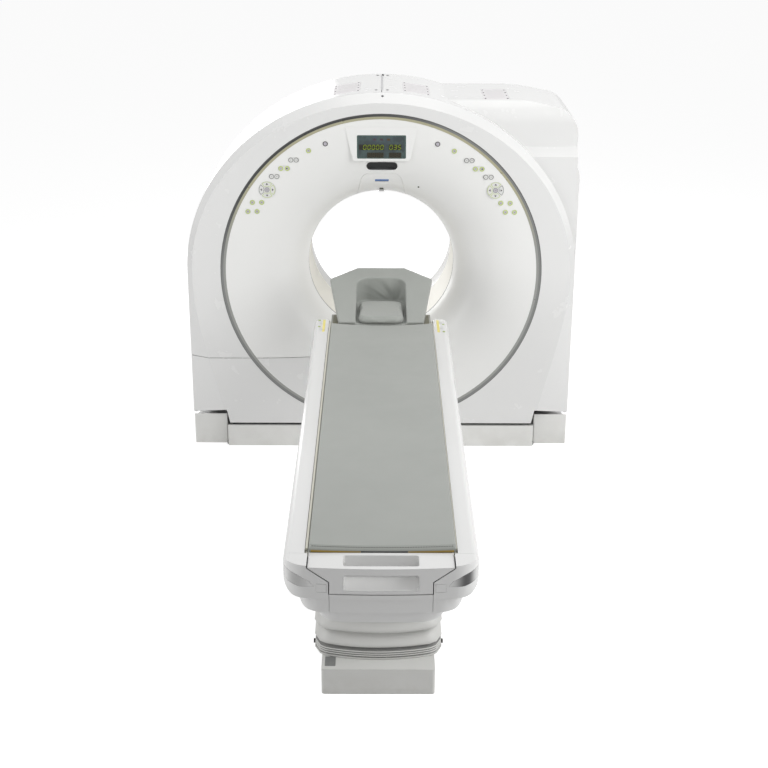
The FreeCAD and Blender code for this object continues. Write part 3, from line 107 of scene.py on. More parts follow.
# ------------------------------------------------------------------ node trees
class Wiring:
    """Adds nodes to a node tree and joins them."""

    def __init__(self, tree: bpy.types.NodeTree) -> None:
        """Keeps the tree."""
        self.tree = tree

    def feed(self, target: Socket, source: object) -> None:
        """Joins a socket to an input, or sets a plain value there.

        Args:
            target: The input socket.
            source: An output socket, several in a list, a number or a tuple.
        """
        for one in source if isinstance(source, list) else [source]:
            if isinstance(one, Socket):
                self.tree.links.new(one, target)
            else:
                target.default_value = one

    def fill(self, node: bpy.types.Node, given: Mapping[str | int, object]) -> None:
        """Feeds several inputs of a node, by name or number."""
        for key, source in given.items():
            self.feed(node.inputs[key], source)

    def node(self, kind: str, given: Mapping[str | int, object] | None = None,
             **settings: object) -> bpy.types.Node:
        """Adds a node.

        Args:
            kind: Blender's name for the node's type.
            given: What its inputs get, by name or number.
            **settings: Properties of the node.

        Returns:
            The new node.
        """
        made = self.tree.nodes.new(kind)
        for name, value in settings.items():
            setattr(made, name, value)
        self.fill(made, given or {})
        return made

    def maths(self, operation: str, first: object, second: object = 0.0,
              clamp: bool = False) -> Socket:
        """Adds a Math node, whose result may be held between 0 and 1."""
        return self.node("ShaderNodeMath", {0: first, 1: second}, operation=operation,
                         use_clamp=clamp).outputs[0]

    def times(self, first: object, second: object) -> Socket:
        """Multiplies two values."""
        return self.maths("MULTIPLY", first, second)

    def minus(self, first: object, second: object) -> Socket:
        """Takes the second value from the first."""
        return self.maths("SUBTRACT", first, second)

    def ramp(self, value: object, low: float, high: float, out_low: float = 0.0,
             out_high: float = 1.0) -> Socket:
        """Maps the range from low to high smoothly to another."""
        given = dict(enumerate((value, low, high, out_low, out_high)))
        return self.node("ShaderNodeMapRange", given, interpolation_type="SMOOTHSTEP").outputs[0]

    def mix(self, share: object, first: object, second: object) -> Socket:
        """Mixes two colours; the share is how much of the second."""
        first, second = ((*c, 1.0) if isinstance(c, tuple) else c for c in (first, second))
        return self.node("ShaderNodeMix", {"Factor": share, 6: first, 7: second},
                         data_type="RGBA").outputs[2]

    def noise(self, place: Socket, scale: object, detail: float = 2.0,
              rough: float = 0.5) -> Socket:
        """Adds a noise texture and gives its value."""
        return self.node("ShaderNodeTexNoise", {"Vector": place, "Scale": scale, "Detail": detail,
                                                "Roughness": rough}).outputs[0]

    def split(self, place: Socket) -> tuple[Socket, ...]:
        """Gives X, Y and Z of a vector."""
        return tuple(self.node("ShaderNodeSeparateXYZ", {0: place}).outputs)

    def effect(self, effect: "Effect", place: Socket, **values: float) -> Socket:
        """Places a shared group and sets its values."""
        return self.node("ShaderNodeGroup", {"Place": place, **values},
                         node_tree=effect_group(effect)).outputs[0]


class Effect(Enum):
    """Shader node groups that more than one finish uses."""

    GRAIN = "fine_grain"
    VINYL = "vinyl_grain"
    TWILL = "twill_weave"
    BRUSHED = "brushed_lines"
    DUST = "settled_dust"
    WEAR = "handling_wear"


MASKS = {Effect.DUST: {"Low": 0.0, "High": 0.4, "Amount": 0.3},
         Effect.WEAR: {"Scale": 14.0, "Amount": 0.3}}


@functools.cache
def effect_group(effect: Effect) -> bpy.types.NodeTree:
    """Builds a shared group on first use. It puts out a mask or a height.

    Args:
        effect: Which group.

    Returns:
        The node group.
    """
    tree = bpy.data.node_groups.new(effect.value, "ShaderNodeTree")
    face = tree.interface
    face.new_socket("Place", in_out="INPUT", socket_type="NodeSocketVector")
    for label, value in MASKS.get(effect, {"Scale": 600.0}).items():
        face.new_socket(label, in_out="INPUT",
                        socket_type="NodeSocketFloat").default_value = value
    output = "Mask" if effect in MASKS else "Height"
    face.new_socket(output, in_out="OUTPUT", socket_type="NodeSocketFloat")
    wires = Wiring(tree)
    given = wires.node("NodeGroupInput").outputs
    place = given["Place"]
    if effect is Effect.DUST:
        height = wires.minus(wires.split(place)[2], given["Low"])
        share = wires.maths("DIVIDE", height, wires.minus(given["High"], given["Low"]))
        fall = wires.maths("SUBTRACT", 1.0, share, clamp=True)
        spots = wires.ramp(wires.noise(place, 9.0, 4.0, 0.6), 0.35, 0.7)
        value = wires.times(wires.times(fall, spots), given["Amount"])
    elif effect is Effect.WEAR:
        long = wires.node("ShaderNodeMapping", {"Vector": place, "Scale": (1.0, 7.0, 1.0),
                                                "Rotation": (0.3, 0.5, 0.7)})
        streak = wires.ramp(wires.noise(long.outputs[0], given["Scale"], 5.0, 0.7), 0.60, 0.72)
        area = wires.ramp(wires.noise(place, 3.0, 1.0), 0.5, 0.7)
        value = wires.times(wires.times(streak, area), given["Amount"])
    elif effect is Effect.GRAIN:
        value = wires.noise(place, given["Scale"], 3.0, 0.55)
    elif effect is Effect.VINYL:
        cells = wires.node("ShaderNodeTexVoronoi", {"Vector": place, "Scale": given["Scale"]},
                           feature="DISTANCE_TO_EDGE")
        creased = wires.ramp(cells.outputs["Distance"], 0.0, 0.22)
        soft = wires.noise(place, wires.times(given["Scale"], 0.35), 2.0)
        value = wires.maths("ADD", wires.times(creased, 0.65), wires.times(soft, 0.35))
    elif effect is Effect.TWILL:
        x, y, _ = wires.split(place)
        along = wires.times(wires.maths("ADD", x, y), given["Scale"])
        across = wires.times(wires.minus(x, y), given["Scale"])
        value = wires.times(wires.maths("SINE", along), wires.maths("SINE", across))
    else:
        drawn = wires.node("ShaderNodeMapping", {"Vector": place, "Scale": (0.03, 1.0, 1.0)})
        value = wires.noise(drawn.outputs[0], given["Scale"], 4.0, 0.7)
    wires.node("NodeGroupOutput", {output: value})
    return tree


# -------------------------------------------------------------------- finishes
DUST_COLOUR = srgb(168, 163, 152)


@dataclass(frozen=True)
class Finish:
    """A painted, moulded, drawn or coated surface."""

    name: str
    colour: Colour
    roughness: float = 0.35         # mean
    metallic: float = 0.0
    coat: float = 0.0               # clear coat's weight
    effect: Effect = Effect.GRAIN   # gives the small relief
    scale: float = 700.0            # of the relief
    depth: float = 0.06             # bump strength
    height: float = 0.0004          # bump distance
    mottle: float = 0.03            # how far the colour drifts
    dust: float = 0.0               # share near the floor
    dust_top: float = 0.5           # height at which it ends
    wear: float = 0.05              # share of handling marks
    edge: float = 0.0               # radius over which the shading rounds an edge
    drift: float = 0.12             # share by which the roughness drifts

    def base(self, wires: Wiring, place: Socket) -> Socket:
        """Gives the base colour before dust and wear."""
        drift = wires.ramp(wires.noise(place, 2.3, 3.0, 0.6), 0.3, 0.7)
        return wires.mix(drift, self.colour, dimmed(self.colour, 1 - self.mottle))

    def extra(self, wires: Wiring, place: Socket) -> dict[str, object]:
        """Gives what a special finish adds to the shader's inputs."""
        return {}

    def make(self) -> bpy.types.Material:
        """Builds the material, or gives the one already built.

        Returns:
            The material.
        """
        if self.name in bpy.data.materials:
            return bpy.data.materials[self.name]
        made = bpy.data.materials.new(self.name)
        made.use_nodes = True
        wires = Wiring(made.node_tree)
        place = wires.node("ShaderNodeTexCoord").outputs["Object"]
        colour = self.base(wires, place)
        if self.dust:
            mask = wires.effect(Effect.DUST, place, Low=0.0, High=self.dust_top, Amount=self.dust)
            colour = wires.mix(mask, colour, DUST_COLOUR)
        worn = wires.effect(Effect.WEAR, place, Scale=14.0, Amount=self.wear)
        rough = wires.ramp(wires.noise(place, 11.0, 3.0, 0.6), 0.2, 0.8,
                           self.roughness * (1 - self.drift),
                           min(1.0, self.roughness * (1 + self.drift)))
        bump = {"Strength": self.depth, "Distance": self.height,
                "Height": wires.effect(self.effect, place, Scale=self.scale)}
        if self.edge:
            bump["Normal"] = wires.node("ShaderNodeBevel", {"Radius": self.edge},
                                        samples=4).outputs[0]
        wires.fill(made.node_tree.nodes["Principled BSDF"], {
            "Base Color": wires.mix(worn, colour, dimmed(self.colour, 0.72)),
            "Roughness": wires.maths("ADD", rough, wires.times(worn, 0.25), clamp=True),
            "Normal": wires.node("ShaderNodeBump", bump).outputs[0],
            "Metallic": self.metallic, "Coat Weight": self.coat, "Coat Roughness": 0.12,
            **self.extra(wires, place)})
        return made


@dataclass(frozen=True)
class RingFinish(Finish):
    """The trim ring: a satin band with a painted dark reflection at its upper left and a painted
    groove shadow on its outer edge, and a line that is khaki on top.
    """

    line: Colour = srgb(182, 178, 150)       # the inner line on top
    line_low: Colour = srgb(158, 159, 155)   # and at the bottom
    centre: float = 0.94                     # height of the ring's centre
    step: float = 0.7925                     # radius at which the colour changes

    def base(self, wires: Wiring, place: Socket) -> Socket:
        """Picks the colour by the distance from the bore's axis, with a painted dark reflection at
        the upper left and a painted groove shadow on the outer edge.

        Args:
            wires: The material's wiring.
            place: Coordinate socket.

        Returns:
            A colour socket.
        """
        x, _, z = wires.split(place)
        rise = wires.minus(z, self.centre)
        far = wires.maths("SQRT", wires.maths("ADD", wires.times(x, x), wires.times(rise, rise)))
        # painted shadow of the groove's wall on the band's outer edge, stronger towards the top
        edge = wires.times(wires.ramp(far, self.step + 0.008, self.step + 0.0125),
                           wires.ramp(rise, -0.3, 0.4, 0.35, 1.0))
        # painted dark reflection, darkest at the upper left of the band
        shade = wires.ramp(wires.minus(rise, wires.times(x, 0.6)), 0.45, 0.88)
        body = wires.mix(shade, self.colour, dimmed(self.colour, 0.26))
        outer = wires.mix(edge, body, dimmed(self.colour, 0.42))
        inner = wires.mix(wires.ramp(rise, 0.10, 0.50), self.line_low, self.line)
        return wires.mix(wires.ramp(far, self.step - 0.0004, self.step + 0.0004), inner, outer)


@dataclass(frozen=True)
class SplitFinish(Finish):
    """Two colours that meet at a plane."""

    other: Colour = (0.7, 0.7, 0.7)
    axis: str = "Z"
    mirrored: bool = False   # whether the distance from zero is read
    start: float = 0.0       # where the other colour begins
    full: float = 0.01       # where it is full

    def base(self, wires: Wiring, place: Socket) -> Socket:
        """Mixes the two colours by the coordinate.

        Args:
            wires: The material's wiring.
            place: Coordinate socket.

        Returns:
            A colour socket.
        """
        along = wires.split(place)["XYZ".index(self.axis)]
        if self.mirrored:
            along = wires.maths("ABSOLUTE", along)
        return wires.mix(wires.ramp(along, self.start, self.full),
                         Finish.base(self, wires, place), self.other)


@dataclass(frozen=True)
class InsertFinish(Finish):
    """The lens-shaped corner inserts, with painted reflections: bright at the tip, darker round the
    bend.
    """

    tip: float = 0.214                      # X at which the insert starts
    bend: float = 0.268                     # X at which it is darkest
    end: float = 0.306                      # X of its outer end
    # painted dark reflection on the bends: dark on the right insert, paler on the left
    dark: Colour = srgb(70, 70, 70)         # the bend on the right
    reflection_left: Colour = srgb(176, 176, 175)

    def base(self, wires: Wiring, place: Socket) -> Socket:
        """Paints reflections on the insert, from its tip to its outer end.

        Args:
            wires: The material's wiring.
            place: Coordinate socket.

        Returns:
            A colour socket.
        """
        x = wires.split(place)[0]
        far = wires.maths("ABSOLUTE", x)
        low = wires.mix(wires.ramp(x, -0.1, 0.1), self.reflection_left, self.dark)
        inner = wires.mix(wires.ramp(far, self.tip, self.bend), self.colour, low)
        return wires.mix(wires.ramp(far, self.bend + 0.008, self.end), inner, self.colour)


@dataclass(frozen=True)
class ScreenFinish(Finish):
    """The display's tinted window: slate, bluer and lighter towards the top middle."""

    centre: Flat = (0.0, 1.5855)           # X and Z of its middle
    size: Flat = (0.1195, 0.0575)          # half width and half height
    blue: Colour = srgb(66, 76, 92)
    cloud: Colour = srgb(66, 84, 82)
    rim: Colour = srgb(70, 94, 88)

    def base(self, wires: Wiring, place: Socket) -> Socket:
        """Tints the window by its height and its distance from the rim.

        Args:
            wires: The material's wiring.
            place: Coordinate socket.

        Returns:
            A colour socket.
        """
        half_w, half_h = self.size
        x, _, z = wires.split(place)
        across = wires.maths("ABSOLUTE", wires.minus(x, self.centre[0]))
        rise = wires.minus(z, self.centre[1])
        top = wires.times(wires.ramp(rise, 0.0, half_h), wires.ramp(across, 0.08, 0.02))
        rim = wires.maths("MAXIMUM", wires.ramp(across, half_w - 0.012, half_w),
                          wires.ramp(wires.maths("ABSOLUTE", rise), half_h - 0.010, half_h))
        body = wires.mix(wires.ramp(wires.noise(place, 26.0, 2.0), 0.4, 0.7),
                         wires.mix(top, self.colour, self.blue), self.cloud)
        return wires.mix(rim, body, self.rim)


@dataclass(frozen=True)
class LitFinish(Finish):
    """A surface with a light behind it."""

    glow: float = 0.5

    def extra(self, wires: Wiring, place: Socket) -> dict[str, object]:
        """Adds the glow, a little uneven over the surface."""
        uneven = wires.ramp(wires.noise(place, 120.0, 1.0), 0.3, 0.7)
        return {"Emission Color": wires.mix(uneven, self.colour, dimmed(self.colour, 0.85)),
                "Emission Strength": self.glow}


@dataclass(frozen=True)
class FilmFinish(Finish):
    """A thin film that lets some light through."""

    clear: float = 0.3

    def extra(self, wires: Wiring, place: Socket) -> dict[str, object]:
        """Makes the film translucent."""
        return {"Transmission Weight": self.clear, "IOR": 1.45}


@dataclass(frozen=True)
class VinylFinish(Finish):
    """Padded vinyl with a soft sheen."""

    sheen: float = 0.25

    def extra(self, wires: Wiring, place: Socket) -> dict[str, object]:
        """Adds the sheen."""
        return {"Sheen Weight": self.sheen, "Sheen Roughness": 0.5}


class Finishes:
    """The object's finishes."""

    COVER = Finish("cover_paint", srgb(232, 232, 231), 0.27, coat=0.3, scale=420.0, depth=0.004,
                   mottle=0.004, dust=0.1, dust_top=0.2, wear=0.0, drift=0.02)
    BELL = Finish("bell_plastic", srgb(241, 241, 239), 0.34, coat=0.15, scale=520.0, depth=0.006,
                  mottle=0.004, wear=0.0, drift=0.02)
    BLOCK = Finish("block_paint", srgb(233, 233, 230), 0.38, coat=0.15, scale=380.0,
                   mottle=0.015, dust=0.2, dust_top=0.14, wear=0.06)
    TABLE = Finish("table_paint", srgb(232, 232, 231), 0.22, coat=0.5, scale=420.0, depth=0.005,
                   mottle=0.005, wear=0.02, drift=0.04)
    CAP = Finish("cap_paint", srgb(232, 232, 231), 0.22, coat=0.5, scale=420.0, depth=0.005,
                 mottle=0.005, wear=0.02, edge=0.006, drift=0.04)
    TABLE_BASE = Finish("base_paint", srgb(212, 212, 209), 0.4, coat=0.1, scale=340.0, depth=0.08,
                        mottle=0.02, dust=0.25, dust_top=0.10, wear=0.1, edge=0.005)
    # the ring's finish paints a dark reflection at its upper left and the groove's shadow on its
    # outer edge
    RING = RingFinish("ring_trim", srgb(134, 135, 134), 0.3, metallic=0.35, coat=0.2,
                      effect=Effect.BRUSHED, scale=260.0, depth=0.12, mottle=0.05)
    WINDOW = FilmFinish("window_film", srgb(214, 208, 190), 0.45, scale=900.0, mottle=0.04,
                        wear=0.0)
    SCREEN = ScreenFinish("display_window", srgb(50, 62, 64), 0.12, coat=0.6, scale=1500.0,
                          depth=0.01, wear=0.02)
    FIELD = Finish("display_field", srgb(33, 31, 20), 0.3, coat=0.1, scale=2600.0, depth=0.05,
                   mottle=0.12, wear=0.0)
    UNLIT = Finish("display_unlit", srgb(58, 53, 32), 0.4, mottle=0.1, wear=0.0)
    DIGIT = LitFinish("display_digit", srgb(120, 138, 24), 0.4, glow=0.12, wear=0.0)
    LAMP_RED = LitFinish("lamp_dull_red", srgb(76, 60, 66), 0.3, glow=0.005, wear=0.0)
    LAMP_AMBER = LitFinish("lamp_dull_amber", srgb(84, 68, 44), 0.3, glow=0.01, wear=0.0)
    SENSOR = Finish("sensor_window", srgb(34, 34, 36), 0.16, coat=0.8, scale=800.0, depth=0.01,
                    mottle=0.15, wear=0.02)
    BLUE = Finish("laser_window", srgb(96, 138, 200), 0.15, coat=0.8, scale=800.0, mottle=0.2,
                  wear=0.0)
    BLUE_DEEP = Finish("laser_slot", srgb(48, 70, 120), 0.2, coat=0.5, mottle=0.2, wear=0.0)
    SMOKED = Finish("smoked_window", srgb(84, 86, 76), 0.2, coat=0.6, mottle=0.2, wear=0.0)
    KEY = Finish("key_plastic", srgb(226, 226, 224), 0.42, scale=1600.0, depth=0.12, wear=0.1)
    KEY_GREEN = Finish("key_ring_green", srgb(196, 212, 128), 0.36, coat=0.2, scale=1600.0,
                       mottle=0.08, wear=0.08)
    KEY_GREY = Finish("key_ring_grey", srgb(140, 140, 138), 0.4, scale=1600.0, mottle=0.08)
    KEY_DARK = Finish("key_ring_dark", srgb(84, 80, 84), 0.4, scale=1600.0, mottle=0.08)
    KEY_MIDDLE = Finish("key_middle", srgb(190, 186, 194), 0.4, scale=1600.0, mottle=0.06)
    KEY_MARK = Finish("key_mark", srgb(62, 60, 66), 0.5, scale=1600.0, mottle=0.1)
    VINYL = VinylFinish("grey_vinyl", srgb(158, 161, 156), 0.52, effect=Effect.VINYL,
                        scale=520.0, depth=0.18, height=0.0005, mottle=0.05, wear=0.1)
    THREAD = Finish("stitch_thread", srgb(112, 114, 108), 0.7, scale=3000.0, depth=0.3,
                    mottle=0.12)
    LAMINATE = SplitFinish("cradle_laminate", srgb(104, 101, 76), 0.42, coat=0.15,
                           effect=Effect.TWILL, scale=1400.0, depth=0.1, mottle=0.12, wear=0.1,
                           other=srgb(160, 161, 152), axis="X", mirrored=True, start=0.2245,
                           full=0.2275)
    TAPE = Finish("edge_tape", srgb(176, 148, 74), 0.5, effect=Effect.TWILL, scale=2600.0,
                  depth=0.2, mottle=0.15, wear=0.3)
    BLACK = Finish("black_fabric", srgb(38, 36, 34), 0.7, effect=Effect.TWILL, scale=2600.0,
                   depth=0.3, mottle=0.2)
    BELLOWS = Finish("bellows_skin", srgb(206, 206, 203), 0.44, coat=0.1, scale=500.0,
                     depth=0.12, dust=0.2, dust_top=0.2)
    # its colours paint reflections along the corner inserts
    CHROME = InsertFinish("insert_metal", srgb(214, 214, 213), 0.2, metallic=0.35, coat=0.4,
                          scale=300.0, depth=0.02, mottle=0.04)
    # painted shade: mid grey for the deep parts of the bellows' small folds and their last groove
    FOLD_SHADE_PAINT = Finish("fold_shade", srgb(140, 140, 138), 0.6, scale=900.0, depth=0.1, mottle=0.1)
    # painted shade: dark grey for the groove just above the bellows' rim
    LINE = Finish("dark_line", srgb(84, 84, 84), 0.6, scale=900.0, depth=0.1, mottle=0.1)
    # painted shade of the groove in the throat
    SEAM = Finish("seam_filler", srgb(160, 160, 160), 0.6, scale=900.0, depth=0.1, mottle=0.05)
    LINER = Finish("liner_cream", srgb(240, 238, 224), 0.5, scale=900.0, depth=0.05)
    STRIP = Finish("roof_strip", srgb(204, 204, 205), 0.5, scale=900.0, depth=0.1, mottle=0.05)
    STEEL = Finish("painted_steel", srgb(120, 124, 126), 0.45, metallic=0.2, scale=260.0,
                   depth=0.15, mottle=0.07, dust=0.3, wear=0.3)
    FRAME = SplitFinish("table_frame_paint", srgb(120, 124, 126), 0.4, scale=260.0, depth=0.1,
                        mottle=0.07, wear=0.1, other=srgb(246, 244, 233), start=0.836, full=0.842)
    BEARING = Finish("bearing_steel", srgb(168, 168, 166), 0.28, metallic=0.9,
                     effect=Effect.BRUSHED, scale=400.0, depth=0.1, mottle=0.05)
    ALUMINIUM = Finish("cast_aluminium", srgb(186, 188, 190), 0.4, metallic=0.75, scale=180.0,
                       depth=0.2, mottle=0.06)
    UNIT = Finish("unit_housing", srgb(158, 160, 156), 0.42, metallic=0.5, scale=240.0,
                  depth=0.15, mottle=0.06)
    COLUMN = Finish("column_metal", srgb(180, 182, 184), 0.32, metallic=0.85,
                    effect=Effect.BRUSHED, scale=300.0, depth=0.1, mottle=0.05)
    GRILLE = Finish("grille_plastic", srgb(233, 230, 231), 0.3, depth=0.01, mottle=0.01,
                    wear=0.0, drift=0.03)
    SCREW = Finish("screw_zinc", srgb(120, 120, 122), metallic=0.8, scale=900.0, mottle=0.1)
    SOCKET = Finish("screw_socket", srgb(20, 20, 21), 0.6, scale=900.0, mottle=0.2)
    YELLOW = Finish("yellow_strip", srgb(240, 226, 130), 0.4, scale=900.0, mottle=0.06,
                    wear=0.1)
    OLIVE = Finish("membrane_green", srgb(150, 170, 90), 0.45, scale=1200.0, mottle=0.12)
    PALE = Finish("membrane_grey", srgb(196, 198, 196), 0.45, scale=1200.0, mottle=0.05)
    STICKER = Finish("bare_plate", srgb(134, 135, 134), 0.5, scale=500.0, depth=0.15,
                     mottle=0.25, wear=0.6)


# ---------------------------------------------------------------------- meshes
def put(name: str, data: bpy.types.ID) -> Piece:
    """Puts a mesh, a lamp or a camera into the scene.

    Args:
        name: The object's name.
        data: What it holds.

    Returns:
        The object, at the origin.
    """
    made = bpy.data.objects.new(name, data)
    bpy.context.scene.collection.objects.link(made)
    return made


def smoothed(mesh: Mesh, sharp: float) -> Mesh:
    """Shades a mesh smoothly, but for edges past an angle in degrees.

    Args:
        mesh: The mesh.
        sharp: The angle.

    Returns:
        The same mesh.
    """
    mesh.shade_smooth()
    mesh.set_sharp_from_angle(angle=math.radians(sharp))
    return mesh


def turn_outward(mesh: Mesh, weld: float = 0.0) -> None:
    """Turns a mesh's faces outwards.

    Args:
        mesh: The mesh.
        weld: Points nearer than this become one first.
    """
    work = bmesh.new()
    work.from_mesh(mesh)
    if weld:
        bmesh.ops.remove_doubles(work, verts=work.verts, dist=weld)
    bmesh.ops.recalc_face_normals(work, faces=work.faces)
    work.to_mesh(mesh)
    work.free()


class Shape:
    """Collects points and faces, each face with its finish's number."""

    def __init__(self) -> None:
        """Starts empty."""
        self.points: list[Point] = []
        self.faces: Faces = []
        self.numbers: list[int] = []

    def add(self, points: Iterable[Sequence[float]], faces: Iterable[Sequence[int]],
            number: int = 0) -> None:
        """Adds a part.

        Args:
            points: Its points in metres.
            faces: Its faces, counted from its own first point.
            number: Which finish its faces take.
        """
        start = len(self.points)
        self.points += [tuple(float(c) for c in p) for p in points]
        for face in faces:
            self.faces.append(tuple(start + i for i in face))
            self.numbers.append(number)

    def piece(self, name: str, finishes: Sequence[Finish], sharp: float = 35.0,
              outward: bool = True) -> Piece:
        """Makes the object.

        Args:
            name: The piece's name.
            finishes: Its finishes, by number.
            sharp: Angle in degrees past which an edge stays sharp.
            outward: Whether the faces are turned outwards.

        Returns:
            The object, at the origin.
        """
        mesh = bpy.data.meshes.new(name)
        mesh.from_pydata(self.points, [], self.faces)
        for finish in finishes:
            mesh.materials.append(finish.make())
        mesh.polygons.foreach_set("material_index", self.numbers)
        if outward:
            turn_outward(mesh)
        return put(name, smoothed(mesh, sharp))


def loop_faces(rings: int, count: int) -> Faces:
    """Faces between closed rings with the same count of points."""
    return [(a + i, a + (i + 1) % count, a + count + (i + 1) % count, a + count + i)
            for a in range(0, (rings - 1) * count, count) for i in range(count)]


def bar_faces(steps: int, closed: bool = False) -> Faces:
    """Faces of a four-sided bar, or of a ring with that section.

    Args:
        steps: How many sections it has.
        closed: Whether it is a ring.

    Returns:
        The faces.
    """
    faces = [(4 * i + k, (4 * i + 4) % (4 * steps) + k, (4 * i + 4) % (4 * steps) + (k + 1) % 4,
              4 * i + (k + 1) % 4) for i in range(steps - (not closed)) for k in range(4)]
    last = 4 * (steps - 1)
    return faces if closed else [*faces, (0, 1, 2, 3), (last + 3, last + 2, last + 1, last)]


def circle(radius: float, count: int = 32, centre: Flat = (0.0, 0.0)) -> list[Flat]:
    """Points on a circle."""
    return [(centre[0] + radius * math.cos(math.tau * i / count),
             centre[1] + radius * math.sin(math.tau * i / count)) for i in range(count)]


def rounded(half_w: float, half_h: float, radius: float, steps: int = 6,
            centre: Flat = (0.0, 0.0)) -> list[Flat]:
    """A rectangle with round corners.

    Args:
        half_w: Half width.
        half_h: Half height.
        radius: Corner radius.
        steps: Points on each corner.
        centre: Its middle.

    Returns:
        The outline's points.
    """
    points = []
    for corner, (sx, sy) in enumerate(((1, 1), (-1, 1), (-1, -1), (1, -1))):
        cx, cy = sx * (half_w - radius), sy * (half_h - radius)
        for step in range(steps + 1):
            turn = math.radians(90 * corner + 90 * step / steps)
            points.append((centre[0] + (cx + radius * math.cos(turn)),
                           centre[1] + (cy + radius * math.sin(turn))))
    return points


def framed(x0: float, x1: float, y0: float, y1: float, radius: float = 0.001) -> list[Flat]:
    """A rectangle with round corners, given by its edges."""
    return rounded((x1 - x0) / 2, (y1 - y0) / 2, radius, 3, ((x0 + x1) / 2, (y0 + y1) / 2))


def middle_of(outline: Sequence[Flat]) -> Flat:
    """Mean of an outline's points."""
    return tuple(sum(p[axis] for p in outline) / len(outline) for axis in (0, 1))


class Facing(Enum):
    """Which way a flat detail looks: axis and start of the ray that finds it, and the ray's way."""

    FRONT = (1, -0.8, 1)
    BACK = (1, 0.9, -1)
    TOP = (2, 2.2, -1)


NUDGES = ((0, 0), (0.003, 0), (-0.003, 0), (0, 0.003), (0, -0.003))


@dataclass
class Skin:
    """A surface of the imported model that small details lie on."""

    nodes: tuple[str, ...]
    facing: Facing = Facing.FRONT
    trees: list[BVHTree] = field(default_factory=list)

    def __post_init__(self) -> None:
        """Reads the nodes' triangles."""
        for mesh in [bpy.data.objects[name].data for name in self.nodes]:
            self.trees.append(BVHTree.FromPolygons([v.co.copy() for v in mesh.vertices],
                                                   [tuple(p.vertices) for p in mesh.polygons]))

    def hit(self, a: float, b: float) -> tuple[Vector, Vector]:
        """Finds the surface.

        Args:
            a: X of the point.
            b: Z of the point on a front or back, Y on a top.

        Returns:
            The point on the surface and its outward normal.
        """
        axis, start, sign = self.facing.value

        def at(u: float, v: float, other: float) -> Vector:
            """Sets the two coordinates and the one along the ray."""
            return Vector((u, other, v) if axis == 1 else (u, v, other))
        way = at(0, 0, sign)
        for da, db in NUDGES:
            rays = [tree.ray_cast(at(a + da, b + db, start), way) for tree in self.trees]
            found = [ray for ray in rays if ray[0] is not None]
            if found:
                place, normal, _, _ = min(found, key=lambda ray: ray[3])
                return place - at(da, db, 0), normal if normal.dot(way) < 0 else -normal
        raise ValueError(f"nothing under {a}, {b} on {self.nodes}")


def patch(shape: Shape, skin: Skin, outline: Sequence[Flat], height: float, number: int = 0,
          rings: int = 3, dome: float = 0.0, edge: float = 0.12) -> None:
    """Lays a thin plate on a surface and follows its curve.

    Args:
        shape: The shape that gets it.
        skin: The surface.
        outline: Its outline, X and Z on a front, X and Y on a top.
        height: Its height above the surface at its edge.
        number: Its finish.
        rings: Rings between the edge and the middle.
        dome: Extra height at its middle.
        edge: Share of the plate that its softened edge takes.
    """
    sink, count = 0.0003, len(outline)
    ca, cb = middle_of(outline)
    levels = [(1.0, -sink), (1.0, height * 0.75), (1.0 - edge * 0.4, height)]
    for share in [1 - (i + 1) / (rings + 1) for i in range(rings)]:
        levels.append(((1 - edge) * share, height + dome * (1 - share ** 2)))
    points: list[Vector] = []
    for share, lift in levels:
        for a, b in outline:
            place, normal = skin.hit(ca + (a - ca) * share, cb + (b - cb) * share)
            points.append(place + normal * lift)
    place, normal = skin.hit(ca, cb)
    points.append(place + normal * (height + dome))
    last = (len(levels) - 1) * count
    tip = [(last + i, last + (i + 1) % count, len(points) - 1) for i in range(count)]
    shape.add(points, loop_faces(len(levels), count) + tip, number)


def plate(shape: Shape, outline: Sequence[Flat], front: float, back: float, number: int = 0,
          soft: float = 0.0003) -> None:
    """A flat plate that looks along -Y, with a softened front edge.

    Args:
        shape: The shape that gets it.
        outline: X and Z of its outline.
        front: Y of its front.
        back: Y of its back.
        number: Its finish.
        soft: Size of the softened edge.
    """
    count = len(outline)
    cx, cz = middle_of(outline)
    points = [(x, y, z) for y in (back, front + soft) for x, z in outline]
    for x, z in outline:
        away = Vector((x - cx, z - cz))
        away = away * max(0.0, 1 - soft / max(away.length, 1e-6))
        points.append((cx + away.x, front, cz + away.y))
    ends = [tuple(range(2 * count, 3 * count)), tuple(reversed(range(count)))]
    shape.add(points, loop_faces(3, count) + ends, number)


def band_plate(shape: Shape, centre: Flat, radii: Flat, depths: Flat, number: int = 0,
               start: float = 0.0, sweep: float = 360.0, count: int = 40) -> None:
    """A flat ring, or a part of one, that looks along -Y.

    Args:
        shape: The shape that gets it.
        centre: X and Z of its centre.
        radii: Outer and inner radius.
        depths: Y of its front and of its back.
        number: Its finish.
        start: Angle in degrees at which it starts.
        sweep: Angle that it covers.
        count: Steps along it.
    """
    (outer, inner), (front, back) = radii, depths
    full = sweep >= 360.0
    steps = count if full else count + 1
    points = []
    for turn in [math.radians(start + sweep * i / count) for i in range(steps)]:
        for radius, y in ((outer, back), (outer, front), (inner, front), (inner, back)):
            points.append((centre[0] + radius * math.cos(turn), y,
                           centre[1] + radius * math.sin(turn)))
    shape.add(points, bar_faces(steps, full), number)


